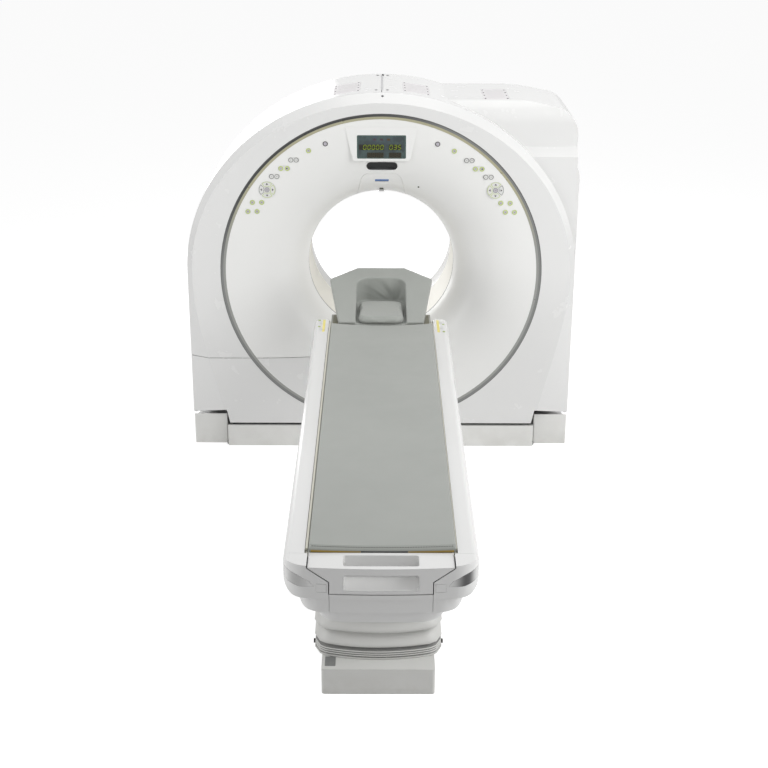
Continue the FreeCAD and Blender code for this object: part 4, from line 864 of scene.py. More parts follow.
# -------------------------------------------------------------- geometry nodes
class Forming(Wiring):
    """Adds the steps that the Geometry Nodes trees share."""

    def raised(self, shape: Socket, rise: Socket) -> Socket:
        """Moves a shape up."""
        up = self.node("ShaderNodeCombineXYZ", {"Z": rise}).outputs[0]
        return self.node("GeometryNodeTransform", {"Geometry": shape,
                                                   "Translation": up}).outputs[0]

    def painted(self, shape: Socket, finish: Socket) -> Socket:
        """Gives a shape its finish."""
        return self.node("GeometryNodeSetMaterial", {"Geometry": shape,
                                                     "Material": finish}).outputs[0]

    def joined(self, *shapes: Socket) -> Socket:
        """Joins shapes."""
        return self.node("GeometryNodeJoinGeometry", {0: list(shapes)}).outputs[0]

    def spread(self, points: Socket, shape: Socket, **more: Socket) -> Socket:
        """Sets a shape on each point and makes the copies real."""
        copies = self.node("GeometryNodeInstanceOnPoints",
                           {"Points": points, "Instance": shape, **more}).outputs[0]
        return self.node("GeometryNodeRealizeInstances", {"Geometry": copies}).outputs[0]


SOCKET_KINDS = {int: "NodeSocketInt", float: "NodeSocketFloat", type(None): "NodeSocketMaterial"}


class Maker:
    """Base of the Geometry Nodes trees: builds the tree and makes the result a plain mesh."""

    title = "maker"
    named: dict[str, float | None] = {}   # the inputs; None is a material

    def __init__(self) -> None:
        """Builds the tree with its named inputs."""
        self.tree = bpy.data.node_groups.new(self.title, "GeometryNodeTree")
        face = self.tree.interface
        for way in ("INPUT", "OUTPUT"):
            face.new_socket("Geometry", in_out=way, socket_type="NodeSocketGeometry")
        self.sockets: dict[str, str] = {}
        for label, value in self.named.items():
            socket = face.new_socket(label, in_out="INPUT", socket_type=SOCKET_KINDS[type(value)])
            if value is not None:
                socket.default_value = value
            self.sockets[label] = socket.identifier
        wires = Forming(self.tree)
        result = self.wire(wires, wires.node("NodeGroupInput").outputs)
        wires.node("NodeGroupOutput", {0: result})

    def wire(self, wires: Forming, given: Mapping[str, Socket]) -> Socket:
        """Adds the tree's nodes and gives the result."""
        return given["Geometry"]

    def run(self, name: str, points: Sequence[Sequence[float]],
            edges: Sequence[Sequence[int]] = (), faces: Sequence[Sequence[int]] = (),
            facing: Sequence[Sequence[float]] = (), sharp: float = 35.0,
            **values: object) -> Piece:
        """Runs the tree on a small mesh.

        Args:
            name: Name of the piece.
            points: The mesh's points.
            edges: The mesh's edges.
            faces: The mesh's faces.
            facing: The way that each point looks.
            sharp: Angle past which an edge stays sharp.
            **values: Values for the named inputs, spaces written as underscores.

        Returns:
            A new object with a plain mesh and no modifier.
        """
        seed = bpy.data.meshes.new(name + "_seed")
        seed.from_pydata([tuple(p) for p in points], list(edges), list(faces))
        if facing:
            held = seed.attributes.new("facing", "FLOAT_VECTOR", "POINT")
            held.data.foreach_set("vector", [c for f in facing for c in f])
        carrier = put(name + "_seed", seed)
        modifier = carrier.modifiers.new(self.title, "NODES")
        modifier.node_group = self.tree
        for label, value in values.items():
            modifier[self.sockets[label.replace("_", " ")]] = value
        carrier.update_tag()
        graph = bpy.context.evaluated_depsgraph_get()
        mesh = bpy.data.meshes.new_from_object(carrier.evaluated_get(graph))
        mesh.name = name
        bpy.data.objects.remove(carrier)
        bpy.data.meshes.remove(seed)
        return put(name, smoothed(mesh, sharp))


class ScrewMaker(Maker):
    """Sets socket-head screws on points, each turned to the way that its point looks."""

    title = "screw_maker"
    named = {"Head Radius": 0.005, "Head Height": 0.002, "Socket Radius": 0.0025,
             "Head Finish": None, "Socket Finish": None}

    def wire(self, wires: Forming, given: Mapping[str, Socket]) -> Socket:
        """Makes a head with a chamfer and a dark six-sided socket, and sets it on each point.

        Args:
            wires: The tree's wiring.
            given: The tree's inputs.

        Returns:
            The screws.
        """
        radius, height = given["Head Radius"], given["Head Height"]
        body = wires.node("GeometryNodeMeshCylinder", {"Vertices": 20, "Radius": radius,
                                                       "Depth": height})
        lip = wires.node("GeometryNodeMeshCone", {
            "Vertices": 20, "Radius Bottom": radius, "Radius Top": wires.times(radius, 0.84),
            "Depth": wires.times(height, 0.35)})
        hole = wires.node("GeometryNodeMeshCylinder", {
            "Vertices": 6, "Radius": given["Socket Radius"], "Depth": wires.times(height, 0.1)})
        head = wires.joined(body.outputs["Mesh"],
                            wires.raised(lip.outputs["Mesh"], wires.times(height, 0.5)))
        dark = wires.raised(hole.outputs["Mesh"], wires.times(height, 0.85))
        whole = wires.joined(wires.painted(head, given["Head Finish"]),
                             wires.painted(dark, given["Socket Finish"]))
        way = wires.node("GeometryNodeInputNamedAttribute", {"Name": "facing"},
                         data_type="FLOAT_VECTOR").outputs["Attribute"]
        turn = wires.node("FunctionNodeAlignRotationToVector", {"Vector": way}, axis="Z")
        return wires.spread(given["Geometry"], whole, Rotation=turn.outputs[0])


class StitchMaker(Maker):
    """Sews stitches along a line."""

    title = "stitch_maker"
    named = {"Pitch": 0.006, "Stitch Length": 0.004, "Thread Radius": 0.0006,
             "Thread Finish": None}

    def wire(self, wires: Forming, given: Mapping[str, Socket]) -> Socket:
        """Sets a small rounded stitch at each step of the line.

        Args:
            wires: The tree's wiring.
            given: The tree's inputs.

        Returns:
            The stitches.
        """
        curve = wires.node("GeometryNodeMeshToCurve", {"Mesh": given["Geometry"]})
        steps = wires.node("GeometryNodeCurveToPoints", {
            "Curve": curve.outputs[0], "Length": given["Pitch"]}, mode="LENGTH").outputs
        bead = wires.node("GeometryNodeMeshUVSphere", {"Segments": 8, "Rings": 5, "Radius": 1.0})
        thread = given["Thread Radius"]
        size = wires.node("ShaderNodeCombineXYZ", {
            "X": thread, "Y": thread, "Z": wires.times(given["Stitch Length"], 0.5)})
        stitch = wires.node("GeometryNodeTransform", {"Geometry": bead.outputs["Mesh"],
                                                      "Scale": size.outputs[0]})
        sewn = wires.spread(steps["Points"], stitch.outputs[0], Rotation=steps["Rotation"])
        return wires.painted(sewn, given["Thread Finish"])


class FoldMaker(Maker):
    """Stacks one fold of a bellows upon itself and joins the copies to one skin."""

    title = "fold_maker"
    named = {"Count": 9, "Pitch": 0.06, "Skin Finish": None}

    def wire(self, wires: Forming, given: Mapping[str, Socket]) -> Socket:
        """Repeats the fold upwards and merges where two meet.

        Args:
            wires: The tree's wiring.
            given: The tree's inputs.

        Returns:
            The folds.
        """
        rise = wires.node("ShaderNodeCombineXYZ", {"Z": given["Pitch"]}).outputs[0]
        column = wires.node("GeometryNodeMeshLine", {"Count": given["Count"], "Offset": rise},
                            mode="OFFSET")
        copies = wires.spread(column.outputs["Mesh"], given["Geometry"])
        whole = wires.node("GeometryNodeMergeByDistance", {"Geometry": copies,
                                                           "Distance": 0.00005})
        return wires.painted(whole.outputs[0], given["Skin Finish"])


# ------------------------------------------------------------------- workshop
@dataclass
class Workshop:
    """What every sub-assembly needs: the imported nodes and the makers."""

    nodes: dict[str, Piece]
    screws: ScrewMaker
    stitches: StitchMaker
    folds: FoldMaker

    def dress(self, finish: Finish, *names: str) -> None:
        """Gives CAD nodes a finish.

        Args:
            finish: The finish.
            *names: The nodes.
        """
        for name in names:
            for place in self.nodes[name].material_slots:
                place.material = finish.make()
            log.info("dressed %s in %s", name, finish.name)

    def ride(self, piece: Piece, body: str, slot: str) -> None:
        """Puts a finished piece on a body.

        Args:
            piece: The piece.
            body: The CAD body.
            slot: The record's material slot; not used.
        """
        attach(piece, body)
        log.info("built %s on %s", piece.name, body)

    def screw_set(self, name: str, skin: Skin, places: Sequence[Flat], radius: float,
                  height: float = 0.0016, lift: float = 0.25) -> None:
        """Sets screws on a surface of the gantry.

        Args:
            name: Name of the piece.
            skin: The surface.
            places: Where, in the surface's two coordinates.
            radius: Head radius.
            height: Head height.
            lift: Share of that height by which the head's middle clears the surface.
        """
        found = [skin.hit(a, b) for a, b in places]
        piece = self.screws.run(
            name, [p + n * height * lift for p, n in found], facing=[tuple(n) for _, n in found],
            Head_Radius=radius, Head_Height=height, Socket_Radius=radius * 0.45,
            Head_Finish=Finishes.SCREW.make(), Socket_Finish=Finishes.SOCKET.make())
        self.ride(piece, "gantry", "frame_steel")

    def soft_copy(self, node: str, name: str, voxel: float, grow: float = 1.0) -> Piece:
        """Copies a CAD node as one skin of small even faces.

        Args:
            node: The node.
            name: Name of the copy.
            voxel: Size of its faces.
            grow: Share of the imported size.

        Returns:
            The copy, with a Remesh modifier still on it.
        """
        mesh = self.nodes[node].data.copy()
        mesh.name = name
        mesh.materials.clear()
        turn_outward(mesh, 0.00001)
        middle = sum(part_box(node), Vector()) / 2
        if grow != 1.0:
            for vertex in mesh.vertices:
                vertex.co = middle + (vertex.co - middle) * grow
        piece = put(name, mesh)
        modify(piece, "REMESH", mode="VOXEL", voxel_size=voxel)
        return piece


def modify(piece: Piece, kind: str, **settings: object) -> None:
    """Adds a modifier.

    Args:
        piece: The piece that gets it.
        kind: Blender's name for its type.
        **settings: Its properties.
    """
    made = piece.modifiers.new(kind.lower(), kind)
    for name, value in settings.items():
        setattr(made, name, value)


def bake(piece: Piece) -> None:
    """Makes a piece's modifiers part of its mesh.

    Args:
        piece: The piece.
    """
    graph = bpy.context.evaluated_depsgraph_get()
    mesh = bpy.data.meshes.new_from_object(piece.evaluated_get(graph))
    old = piece.data
    piece.modifiers.clear()
    piece.data = mesh
    mesh.name = piece.name
    bpy.data.meshes.remove(old)


def keep_inside(piece: Piece, low: Vector, high: Vector) -> None:
    """Holds a piece's points between two corners.

    Args:
        piece: The piece.
        low: Lower corner.
        high: Upper corner.
    """
    for vertex in piece.data.vertices:
        for axis in range(3):
            vertex.co[axis] = min(max(vertex.co[axis], low[axis]), high[axis])


# --------------------------------------------------------------------- gantry
@dataclass
class Covers:
    """The gantry's covers, trim, vents and the fasteners that show."""

    # X and Y of the screws at the top seam
    seam_screws: tuple[Flat, ...] = ((-0.0198, 0.146), (0.0311, 0.149), (-0.0265, -0.3037),
                                     (0.0283, -0.3023))
    # X and Y of the nearest of the four screws at each end of the vents
    vent_ends: tuple[Flat, ...] = ((-0.2285, -0.286), (-0.115, -0.286), (0.115, -0.286),
                                   (0.2285, -0.286), (0.5125, -0.246), (0.6225, -0.246))
    vent_pitch: float = 0.078
    # the strip over the roof joint: X, first Y, pitch, count, half width and half length
    strip_x: float = 0.0025
    strip_y: float = -0.292
    strip_pitch: float = 0.038
    strip_count: int = 12
    strip_half: Flat = (0.0060, 0.0192)
    plug: Flat = (0.0066, 0.1485)
    plug_half: Flat = (0.0062, 0.0100)
    # radius and Y of the groove in the throat, round its section
    groove: tuple[Flat, ...] = ((0.3752, -0.1765), (0.3744, -0.1765), (0.3744, -0.1665),
                                (0.3752, -0.1665))
    # angles of the rear cover's screws, and half axes of the ellipse that they stand on
    rear_rows: tuple[float, ...] = (20, 50, 80, 100, 130, 160, 200, 225, 315, 340)
    rear_x: float = 0.90
    rear_z: float = 0.735
    centre_z: float = 0.94

    def dress(self, shop: Workshop) -> None:
        """Gives the covers their finishes.

        Args:
            shop: The workshop.
        """
        shop.dress(Finishes.COVER, "front_cover", "housing_left", "housing_right",
                   "service_panel", "rear_cover")
        shop.dress(Finishes.BELL, "bell", "display_bezel", "laser_panel")
        shop.dress(Finishes.RING, "ring_trim")
        shop.dress(Finishes.WINDOW, "scan_window")
        shop.dress(Finishes.GRILLE, "vent_grilles")
        shop.dress(Finishes.BLOCK, "side_blocks", "plinth_covers")

    def build(self, shop: Workshop) -> None:
        """Adds what shows on the roof, in the throat and on the back.

        Args:
            shop: The workshop.
        """
        roof = Skin(("housing_left", "housing_right", "vent_grilles"), Facing.TOP)
        shop.screw_set("seam_screws", roof, self.seam_screws, 0.007)
        ends = [(x, y + k * self.vent_pitch) for x, y in self.vent_ends for k in range(4)]
        shop.screw_set("vent_screws", roof, ends, 0.0042)
        seam = Shape()
        for k in range(self.strip_count):
            place = (self.strip_x, self.strip_y + self.strip_pitch * k)
            patch(seam, roof, rounded(*self.strip_half, 0.0002, 1, place), 0.0008, rings=1,
                  edge=0.05)
        patch(seam, roof, rounded(*self.plug_half, 0.0058, 6, self.plug), 0.0040, 1, rings=2,
              dome=0.0005, edge=0.1)
        shop.ride(seam.piece("roof_seam", [Finishes.STRIP, Finishes.SOCKET]), "gantry",
                  "trim_grey")
        # a thin grey band on the throat that paints the shade of its groove
        groove, turns = Shape(), circle(1.0, 128)
        groove.add([(c * r, y, self.centre_z + s * r)
                    for r, y in [*self.groove, self.groove[0]] for c, s in turns],
                   loop_faces(5, 128))
        shop.ride(groove.piece("throat_groove", [Finishes.SEAM]), "gantry", "trim_grey")
        shop.screw_set("front_seam_screw", Skin(("front_cover",), Facing.TOP),
                       [(0.0043, -0.398)], 0.006)
        rear = [(self.rear_x * math.cos(turn), self.centre_z + self.rear_z * math.sin(turn))
                for turn in map(math.radians, self.rear_rows)]
        shop.screw_set("rear_screws", Skin(("rear_cover",), Facing.BACK), rear, 0.008, 0.002, 0.2)


class Mechanics:
    """What turns and carries inside the covers: only finishes."""

    def dress(self, shop: Workshop) -> None:
        """Gives the inner parts their finishes.

        Args:
            shop: The workshop.
        """
        shop.dress(Finishes.STEEL, "base_frame", "tilt_frame")
        shop.dress(Finishes.FRAME, "table_frame")
        shop.dress(Finishes.BEARING, "drum_bearing")
        shop.dress(Finishes.ALUMINIUM, "rotor_drum")
        shop.dress(Finishes.UNIT, "xray_tube", "detector_array", "hv_generator",
                   "cradle_carriage")
        shop.dress(Finishes.COLUMN, "lift_outer_columns", "lift_middle_columns",
                   "lift_inner_columns")


SEGMENTS: dict[str, str] = {"0": "abcdef", "3": "abcdg", "5": "acdfg", "8": "abcdefg"}
# ends of each segment, in half widths and half heights of the digit
SEGMENT_ENDS: dict[str, tuple[Flat, Flat]] = {
    "a": ((-1, 1), (1, 1)), "g": ((-1, 0), (1, 0)), "d": ((-1, -1), (1, -1)),
    "f": ((-1, 0), (-1, 1)), "b": ((1, 0), (1, 1)), "e": ((-1, -1), (-1, 0)),
    "c": ((1, -1), (1, 0))}
Row = tuple[str, tuple[float, ...], float]


@dataclass
class Display:
    """The display: window, number fields, plain digits and three lamps."""

    # left, right, low and high edge of each dark field
    fields: tuple[Edges, ...] = (
        (-0.1105, 0.0115, 1.5705, 1.5970), (0.0363, 0.0969, 1.5705, 1.5970),
        (-0.0699, 0.0103, 1.5325, 1.5578), (0.0363, 0.0969, 1.5325, 1.5578))
    # text, X of each digit and height of the row's middle
    rows: tuple[Row, ...] = (
        ("00000", (-0.0809, -0.0600, -0.0392, -0.0184, 0.0024), 1.5838),
        ("035", (0.0468, 0.0672, 0.0876), 1.5838))
    unlit: tuple[Row, ...] = (("8888", (-0.0600, -0.0392, -0.0184, 0.0024), 1.5452),
                              ("888", (0.0468, 0.0672, 0.0876), 1.5452))
    digit: Flat = (0.0062, 0.0108)   # half width and half height
    stroke: float = 0.00165          # half thickness of a segment
    slant: float = 0.12
    lamps: tuple[float, ...] = (-0.0334, 0.0005, 0.0344)
    lamp_z: float = 1.6215

    def dress(self, shop: Workshop) -> None:
        """Gives the window its finish."""
        shop.dress(Finishes.SCREEN, "display_panel")

    def segment(self, shape: Shape, centre: Flat, name: str, front: float, number: int) -> None:
        """Adds one segment of a digit.

        Args:
            shape: The shape that gets it.
            centre: X and Z of the digit's middle.
            name: The segment's letter.
            front: Y of the field's front.
            number: Its finish.
        """
        first, last = (Vector((x * self.digit[0], z * self.digit[1]))
                       for x, z in SEGMENT_ENDS[name])
        along = (last - first).normalized()
        side = Vector((-along.y, along.x)) * self.stroke
        along = along * self.stroke
        a, b = first + along * 0.45, last - along * 0.45
        line = [a, a + along + side, b - along + side, b, b - along - side, a + along - side]
        outline = [(centre[0] + p.x + p.y * self.slant, centre[1] + p.y) for p in line]
        plate(shape, outline, front - 0.0004, front + 0.0002, number, 0.00015)

    def build(self, shop: Workshop) -> None:
        """Adds the fields, the digits and the lamps.

        Args:
            shop: The workshop.
        """
        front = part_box("display_panel")[0].y
        fields, digits, lamps = Shape(), Shape(), Shape()
        for edges in self.fields:
            plate(fields, framed(*edges), front - 0.0005, front + 0.0005)
        shop.ride(fields.piece("display_fields", [Finishes.FIELD]), "gantry", "screen_black")
        for number, rows in enumerate((self.rows, self.unlit)):
            for text, columns, z in rows:
                for sign, x in zip(text, columns):
                    for name in SEGMENTS[sign]:
                        self.segment(digits, (x, z), name, front - 0.0005, number)
        shop.ride(digits.piece("display_digits", [Finishes.DIGIT, Finishes.UNLIT]), "gantry",
                  "screen_black")
        for number, x in enumerate(self.lamps):
            plate(lamps, rounded(0.0078, 0.0044, 0.001, 3, (x, self.lamp_z)), front - 0.0008,
                  front + 0.0005, number // 2)
        shop.ride(lamps.piece("display_lamps", [Finishes.LAMP_RED, Finishes.LAMP_AMBER]),
                  "gantry", "screen_black")


@dataclass
class Sensors:
    """The windows of the sensor and the aiming lights on the bell."""

    # middle X and Z, half width and half height
    sensor: Edges = (0.003, 1.4852, 0.076, 0.0205)
    strip: Edges = (0.0026, 1.4035, 0.0342, 0.0062)
    lens: tuple[Flat, ...] = ((-0.0125, 1.3262), (0.0145, 1.3262), (0.0105, 1.3505),
                              (-0.0085, 1.3505))
    dot: Flat = (0.1847, 1.3708)

    def build(self, shop: Workshop) -> None:
        """Adds the windows.

        Args:
            shop: The workshop.
        """
        skin = Skin(("bell", "laser_panel"))
        dark, blue, lens = Shape(), Shape(), Shape()
        x, z, w, h = self.sensor
        patch(dark, skin, rounded(w, h, h * 0.99, 10, (x, z)), 0.0016, rings=4, dome=0.0022,
              edge=0.2)
        shop.ride(dark.piece("sensor_window", [Finishes.SENSOR], 50), "gantry", "screen_black")
        x, z, w, h = self.strip
        patch(blue, skin, rounded(w, h, 0.001, 3, (x, z)), 0.0008, 0, edge=0.06)
        patch(blue, skin, rounded(w * 0.97, h * 0.30, 0.001, 3, (x, z - h * 0.55)), 0.0012, 1,
              edge=0.06)
        shop.ride(blue.piece("laser_strip", [Finishes.BLUE, Finishes.BLUE_DEEP]), "gantry",
                  "screen_black")
        patch(lens, skin, self.lens, 0.0075, 0, edge=0.15)
        patch(lens, skin, circle(0.0045, 16, self.dot), 0.0008, 0)
        shop.ride(lens.piece("light_lenses", [Finishes.SMOKED]), "gantry", "screen_black")


class Side(Enum):
    """Left or right of the bore, as the table's foot end sees it."""

    LEFT = -1
    RIGHT = 1


PRINTS = (Finishes.KEY_GREEN, Finishes.KEY_GREY, Finishes.KEY_DARK, Finishes.KEY_MIDDLE,
          Finishes.KEY_MARK, Finishes.KEY)
GREEN, GREY, DARK, MIDDLE, MARK = range(5)


@dataclass
class KeySet:
    """The control keys on one side, each with its printed rings and marks."""

    side: Side
    radius: float = 0.0124        # of a key
    pad_radius: float = 0.041     # of the direction pad
    film: float = 0.0002          # how far a print stands out
    # ring of each single key
    singles: tuple[tuple[str, int], ...] = (
        ("start_key", DARK), ("hold_key", GREEN), ("quad_key_1", GREEN), ("quad_key_2", GREEN),
        ("quad_key_3", GREEN), ("quad_key_4", GREEN))

    def name(self, key: str) -> str:
        """Gives a key's name on this side."""
        return f"{key}_{self.side.name.lower()}"

    def middle(self, key: str) -> tuple[Flat, float, float]:
        """Finds a key: X and Z of its middle, Y of its front and its half width."""
        low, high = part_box(self.name(key))
        return ((low.x + high.x) / 2, (low.z + high.z) / 2), low.y, (high.x - low.x) / 2

    def ride(self, shop: Workshop, key: str, shape: Shape) -> None:
        """Puts a print on its key."""
        shop.ride(shape.piece(self.name(key) + "_print", PRINTS), self.name(key), "key_rubber")

    def mark(self, shape: Shape, centre: Flat, front: float, number: int, radii: Flat) -> None:
        """Adds a ring and the disc inside it.

        Args:
            shape: The shape that gets them.
            centre: X and Z of the middle.
            front: Y of the key's front.
            number: The ring's finish.
            radii: Outer and inner radius of the ring.
        """
        y0, y1 = front - self.film, front + self.film
        band_plate(shape, centre, radii, (y0, y1), number)
        plate(shape, circle(radii[1] * 0.94, 24, centre), y0 - self.film / 2, y1, MIDDLE, 0.0002)

    def build(self, shop: Workshop) -> None:
        """Dresses the keys and adds what is printed on them.

        Args:
            shop: The workshop.
        """
        rockers = ("rocker_1", "rocker_2", "rocker_3")
        names = [*dict(self.singles), *rockers, "pad_key", "pad_centre_key"]
        shop.dress(Finishes.KEY, *map(self.name, names))
        for key, number in self.singles:
            centre, front, _ = self.middle(key)
            shape = Shape()
            inner = 0.0072 if number == GREEN else 0.0082
            self.mark(shape, centre, front, number, (self.radius * 0.985, inner))
            if number == GREEN:
                plate(shape, rounded(0.0028, 0.0011, 0.0005, 3, centre), front - 0.0005,
                      front, GREY, 0.0001)
            self.ride(shop, key, shape)
        for row, key in enumerate(rockers):
            self.rocker(shop, key, row)
        self.pad(shop)

    def rocker(self, shop: Workshop, key: str, row: int) -> None:
        """Adds the two rings of a rocker key.

        Args:
            shop: The workshop.
            key: The key's name.
            row: Which rocker, from the top.
        """
        (x, z), front, half = self.middle(key)
        y0, y1 = front - self.film, front + self.film
        shape = Shape()
        for s in (-1, 1):
            centre = (x + s * (half - self.radius), z)
            if row == 1:
                self.mark(shape, centre, front, GREEN, (self.radius * 0.97, 0.0070))
                if s > 0:
                    shift = 0.002 * self.side.value
                    plate(shape, circle(0.0034, 16, (centre[0] + shift, z)), front - 0.0005,
                          front, MARK, 0.0001)
                continue
            band_plate(shape, centre, (self.radius * 0.97, 0.0088), (y0, y1), GREY)
            bar = 0.0031 if row == 0 else 0.0026
            plate(shape, rounded(bar, 0.0009, 0.0004, 3, centre), y0, y1, GREY, 0.0001)
            if s > 0:
                plate(shape, rounded(0.0009, bar, 0.0004, 3, centre), y0, y1, GREY, 0.0001)
        self.ride(shop, key, shape)

    def pad(self, shop: Workshop) -> None:
        """Adds the direction pad's segments and arrows.

        Args:
            shop: The workshop.
        """
        centre, front, _ = self.middle("pad_key")
        depths = (front - self.film, front + self.film)
        outer, inner, edge, tip = self.pad_radius * 0.97, 0.0175, 0.0021, 0.0282
        half, gap = 38.0, 2.2   # degrees
        shape = Shape()
        for quarter in range(4):
            middle = 90.0 * quarter
            outward = quarter == (0 if self.side is Side.RIGHT else 2)
            number = GREY if outward else GREEN
            for radii in ((outer, outer - edge), (inner + edge, inner)):
                band_plate(shape, centre, radii, depths, number, middle - half, 2 * half)
            for s in (-1, 1):
                band_plate(shape, centre, (outer - edge, inner + edge), depths, number,
                           middle + s * half - gap, 2 * gap, 2)
            c, q = math.cos(math.radians(middle)), math.sin(math.radians(middle))
            arrow = [(centre[0] + along * c - across * q, centre[1] + along * q + across * c)
                     for along, across in ((tip + 0.0052, 0.0), (tip - 0.0034, 0.0060),
                                           (tip - 0.0034, -0.0060))]
            plate(shape, arrow, *depths, MARK, 0.0001)
        self.ride(shop, "pad_key", shape)
        centre, front, half = self.middle("pad_centre_key")
        shape = Shape()
        self.mark(shape, centre, front, GREY, (half * 0.94, 0.0098))
        plate(shape, rounded(0.0035, 0.0012, 0.0006, 3, centre), front - 0.0005, front, GREY,
              0.0001)
        self.ride(shop, "pad_centre_key", shape)


# ---------------------------------------------------------------------- table
@dataclass
class TableBody:
    """The table's covers, base and the small things on its rails."""

    # middle X, Y from and Y to of the yellow strips
    strips: tuple[Point, ...] = ((-0.2655, -1.113, -0.945), (0.2650, -1.117, -0.945))
    strip_half: float = 0.0058
    # X, Y and half size of the flush keys, green ones first
    keys: tuple[Point, ...] = (
        (-0.288, -0.951, 0.0060), (-0.2865, -1.040, 0.0060), (0.2900, -1.005, 0.0055),
        (0.2890, -1.1065, 0.0060), (-0.2800, -0.995, 0.0065), (-0.277, -1.0795, 0.0085),
        (0.2780, -0.985, 0.0065), (0.2790, -1.060, 0.0085))
    greens: int = 4
    # X from and X to of the cream strips beside the mat, their ends, top and height
    liners: tuple[Flat, ...] = ((-0.2425, -0.2347), (0.2405, 0.2436))
    liner_ends: Flat = (-3.215, -1.02)
    liner_top: float = 0.8706
    liner_height: float = 0.0088
    # X from, X to, Y from, Y to of the bare plate on the base
    bare: Edges = (-0.2085, -0.1685, -2.706, -2.640)

    def dress(self, shop: Workshop) -> None:
        """Gives the table its finishes.

        Args:
            shop: The workshop.
        """
        shop.dress(Finishes.TABLE, "side_covers", "foot_end_cover", "head_end_cover", "table_pan")
        shop.dress(Finishes.CAP, "end_cap")
        shop.dress(Finishes.TABLE_BASE, "table_base")
        shop.dress(Finishes.CHROME, "corner_inserts")
        shop.dress(Finishes.LAMINATE, "cradle_board")

    def build(self, shop: Workshop) -> None:
        """Adds the strips and keys on the rails and the plate on the base.

        Args:
            shop: The workshop.
        """
        rails = Skin(("side_covers", "head_end_cover"), Facing.TOP)
        strips, keys, liner, bare = Shape(), Shape(), Shape(), Shape()
        for x, y0, y1 in self.strips:
            patch(strips, rails, framed(x - self.strip_half, x + self.strip_half, y0, y1),
                  0.0004, rings=1, edge=0.04)
        shop.ride(strips.piece("rail_strips", [Finishes.YELLOW]), "table", "trim_grey")
        for number, (x, y, half) in enumerate(self.keys):
            patch(keys, rails, rounded(half, half * 1.5, half * 0.8, 5, (x, y)), 0.0004,
                  int(number >= self.greens), rings=1, dome=0.0002)
        shop.ride(keys.piece("rail_keys", [Finishes.OLIVE, Finishes.PALE]), "table",
                  "key_rubber")
        high, soft = self.liner_top, 0.0007
        low = high - self.liner_height
        for x0, x1 in self.liners:
            ring = [(x0, low), (x0, high - soft), (x0 + soft, high), (x1 - soft, high),
                    (x1, high - soft), (x1, low)]
            liner.add([(x, y, z) for y in self.liner_ends for x, z in ring],
                      [*loop_faces(2, 6), tuple(range(5, -1, -1)), tuple(range(6, 12))])
        shop.ride(liner.piece("rail_liners", [Finishes.LINER]), "table", "trim_grey")
        floor = Skin(("table_base",), Facing.TOP)
        patch(bare, floor, framed(*self.bare, 0.002), 0.0005, rings=1, edge=0.04)
        shop.ride(bare.piece("base_plate_bare", [Finishes.STICKER]), "base", "trim_grey")


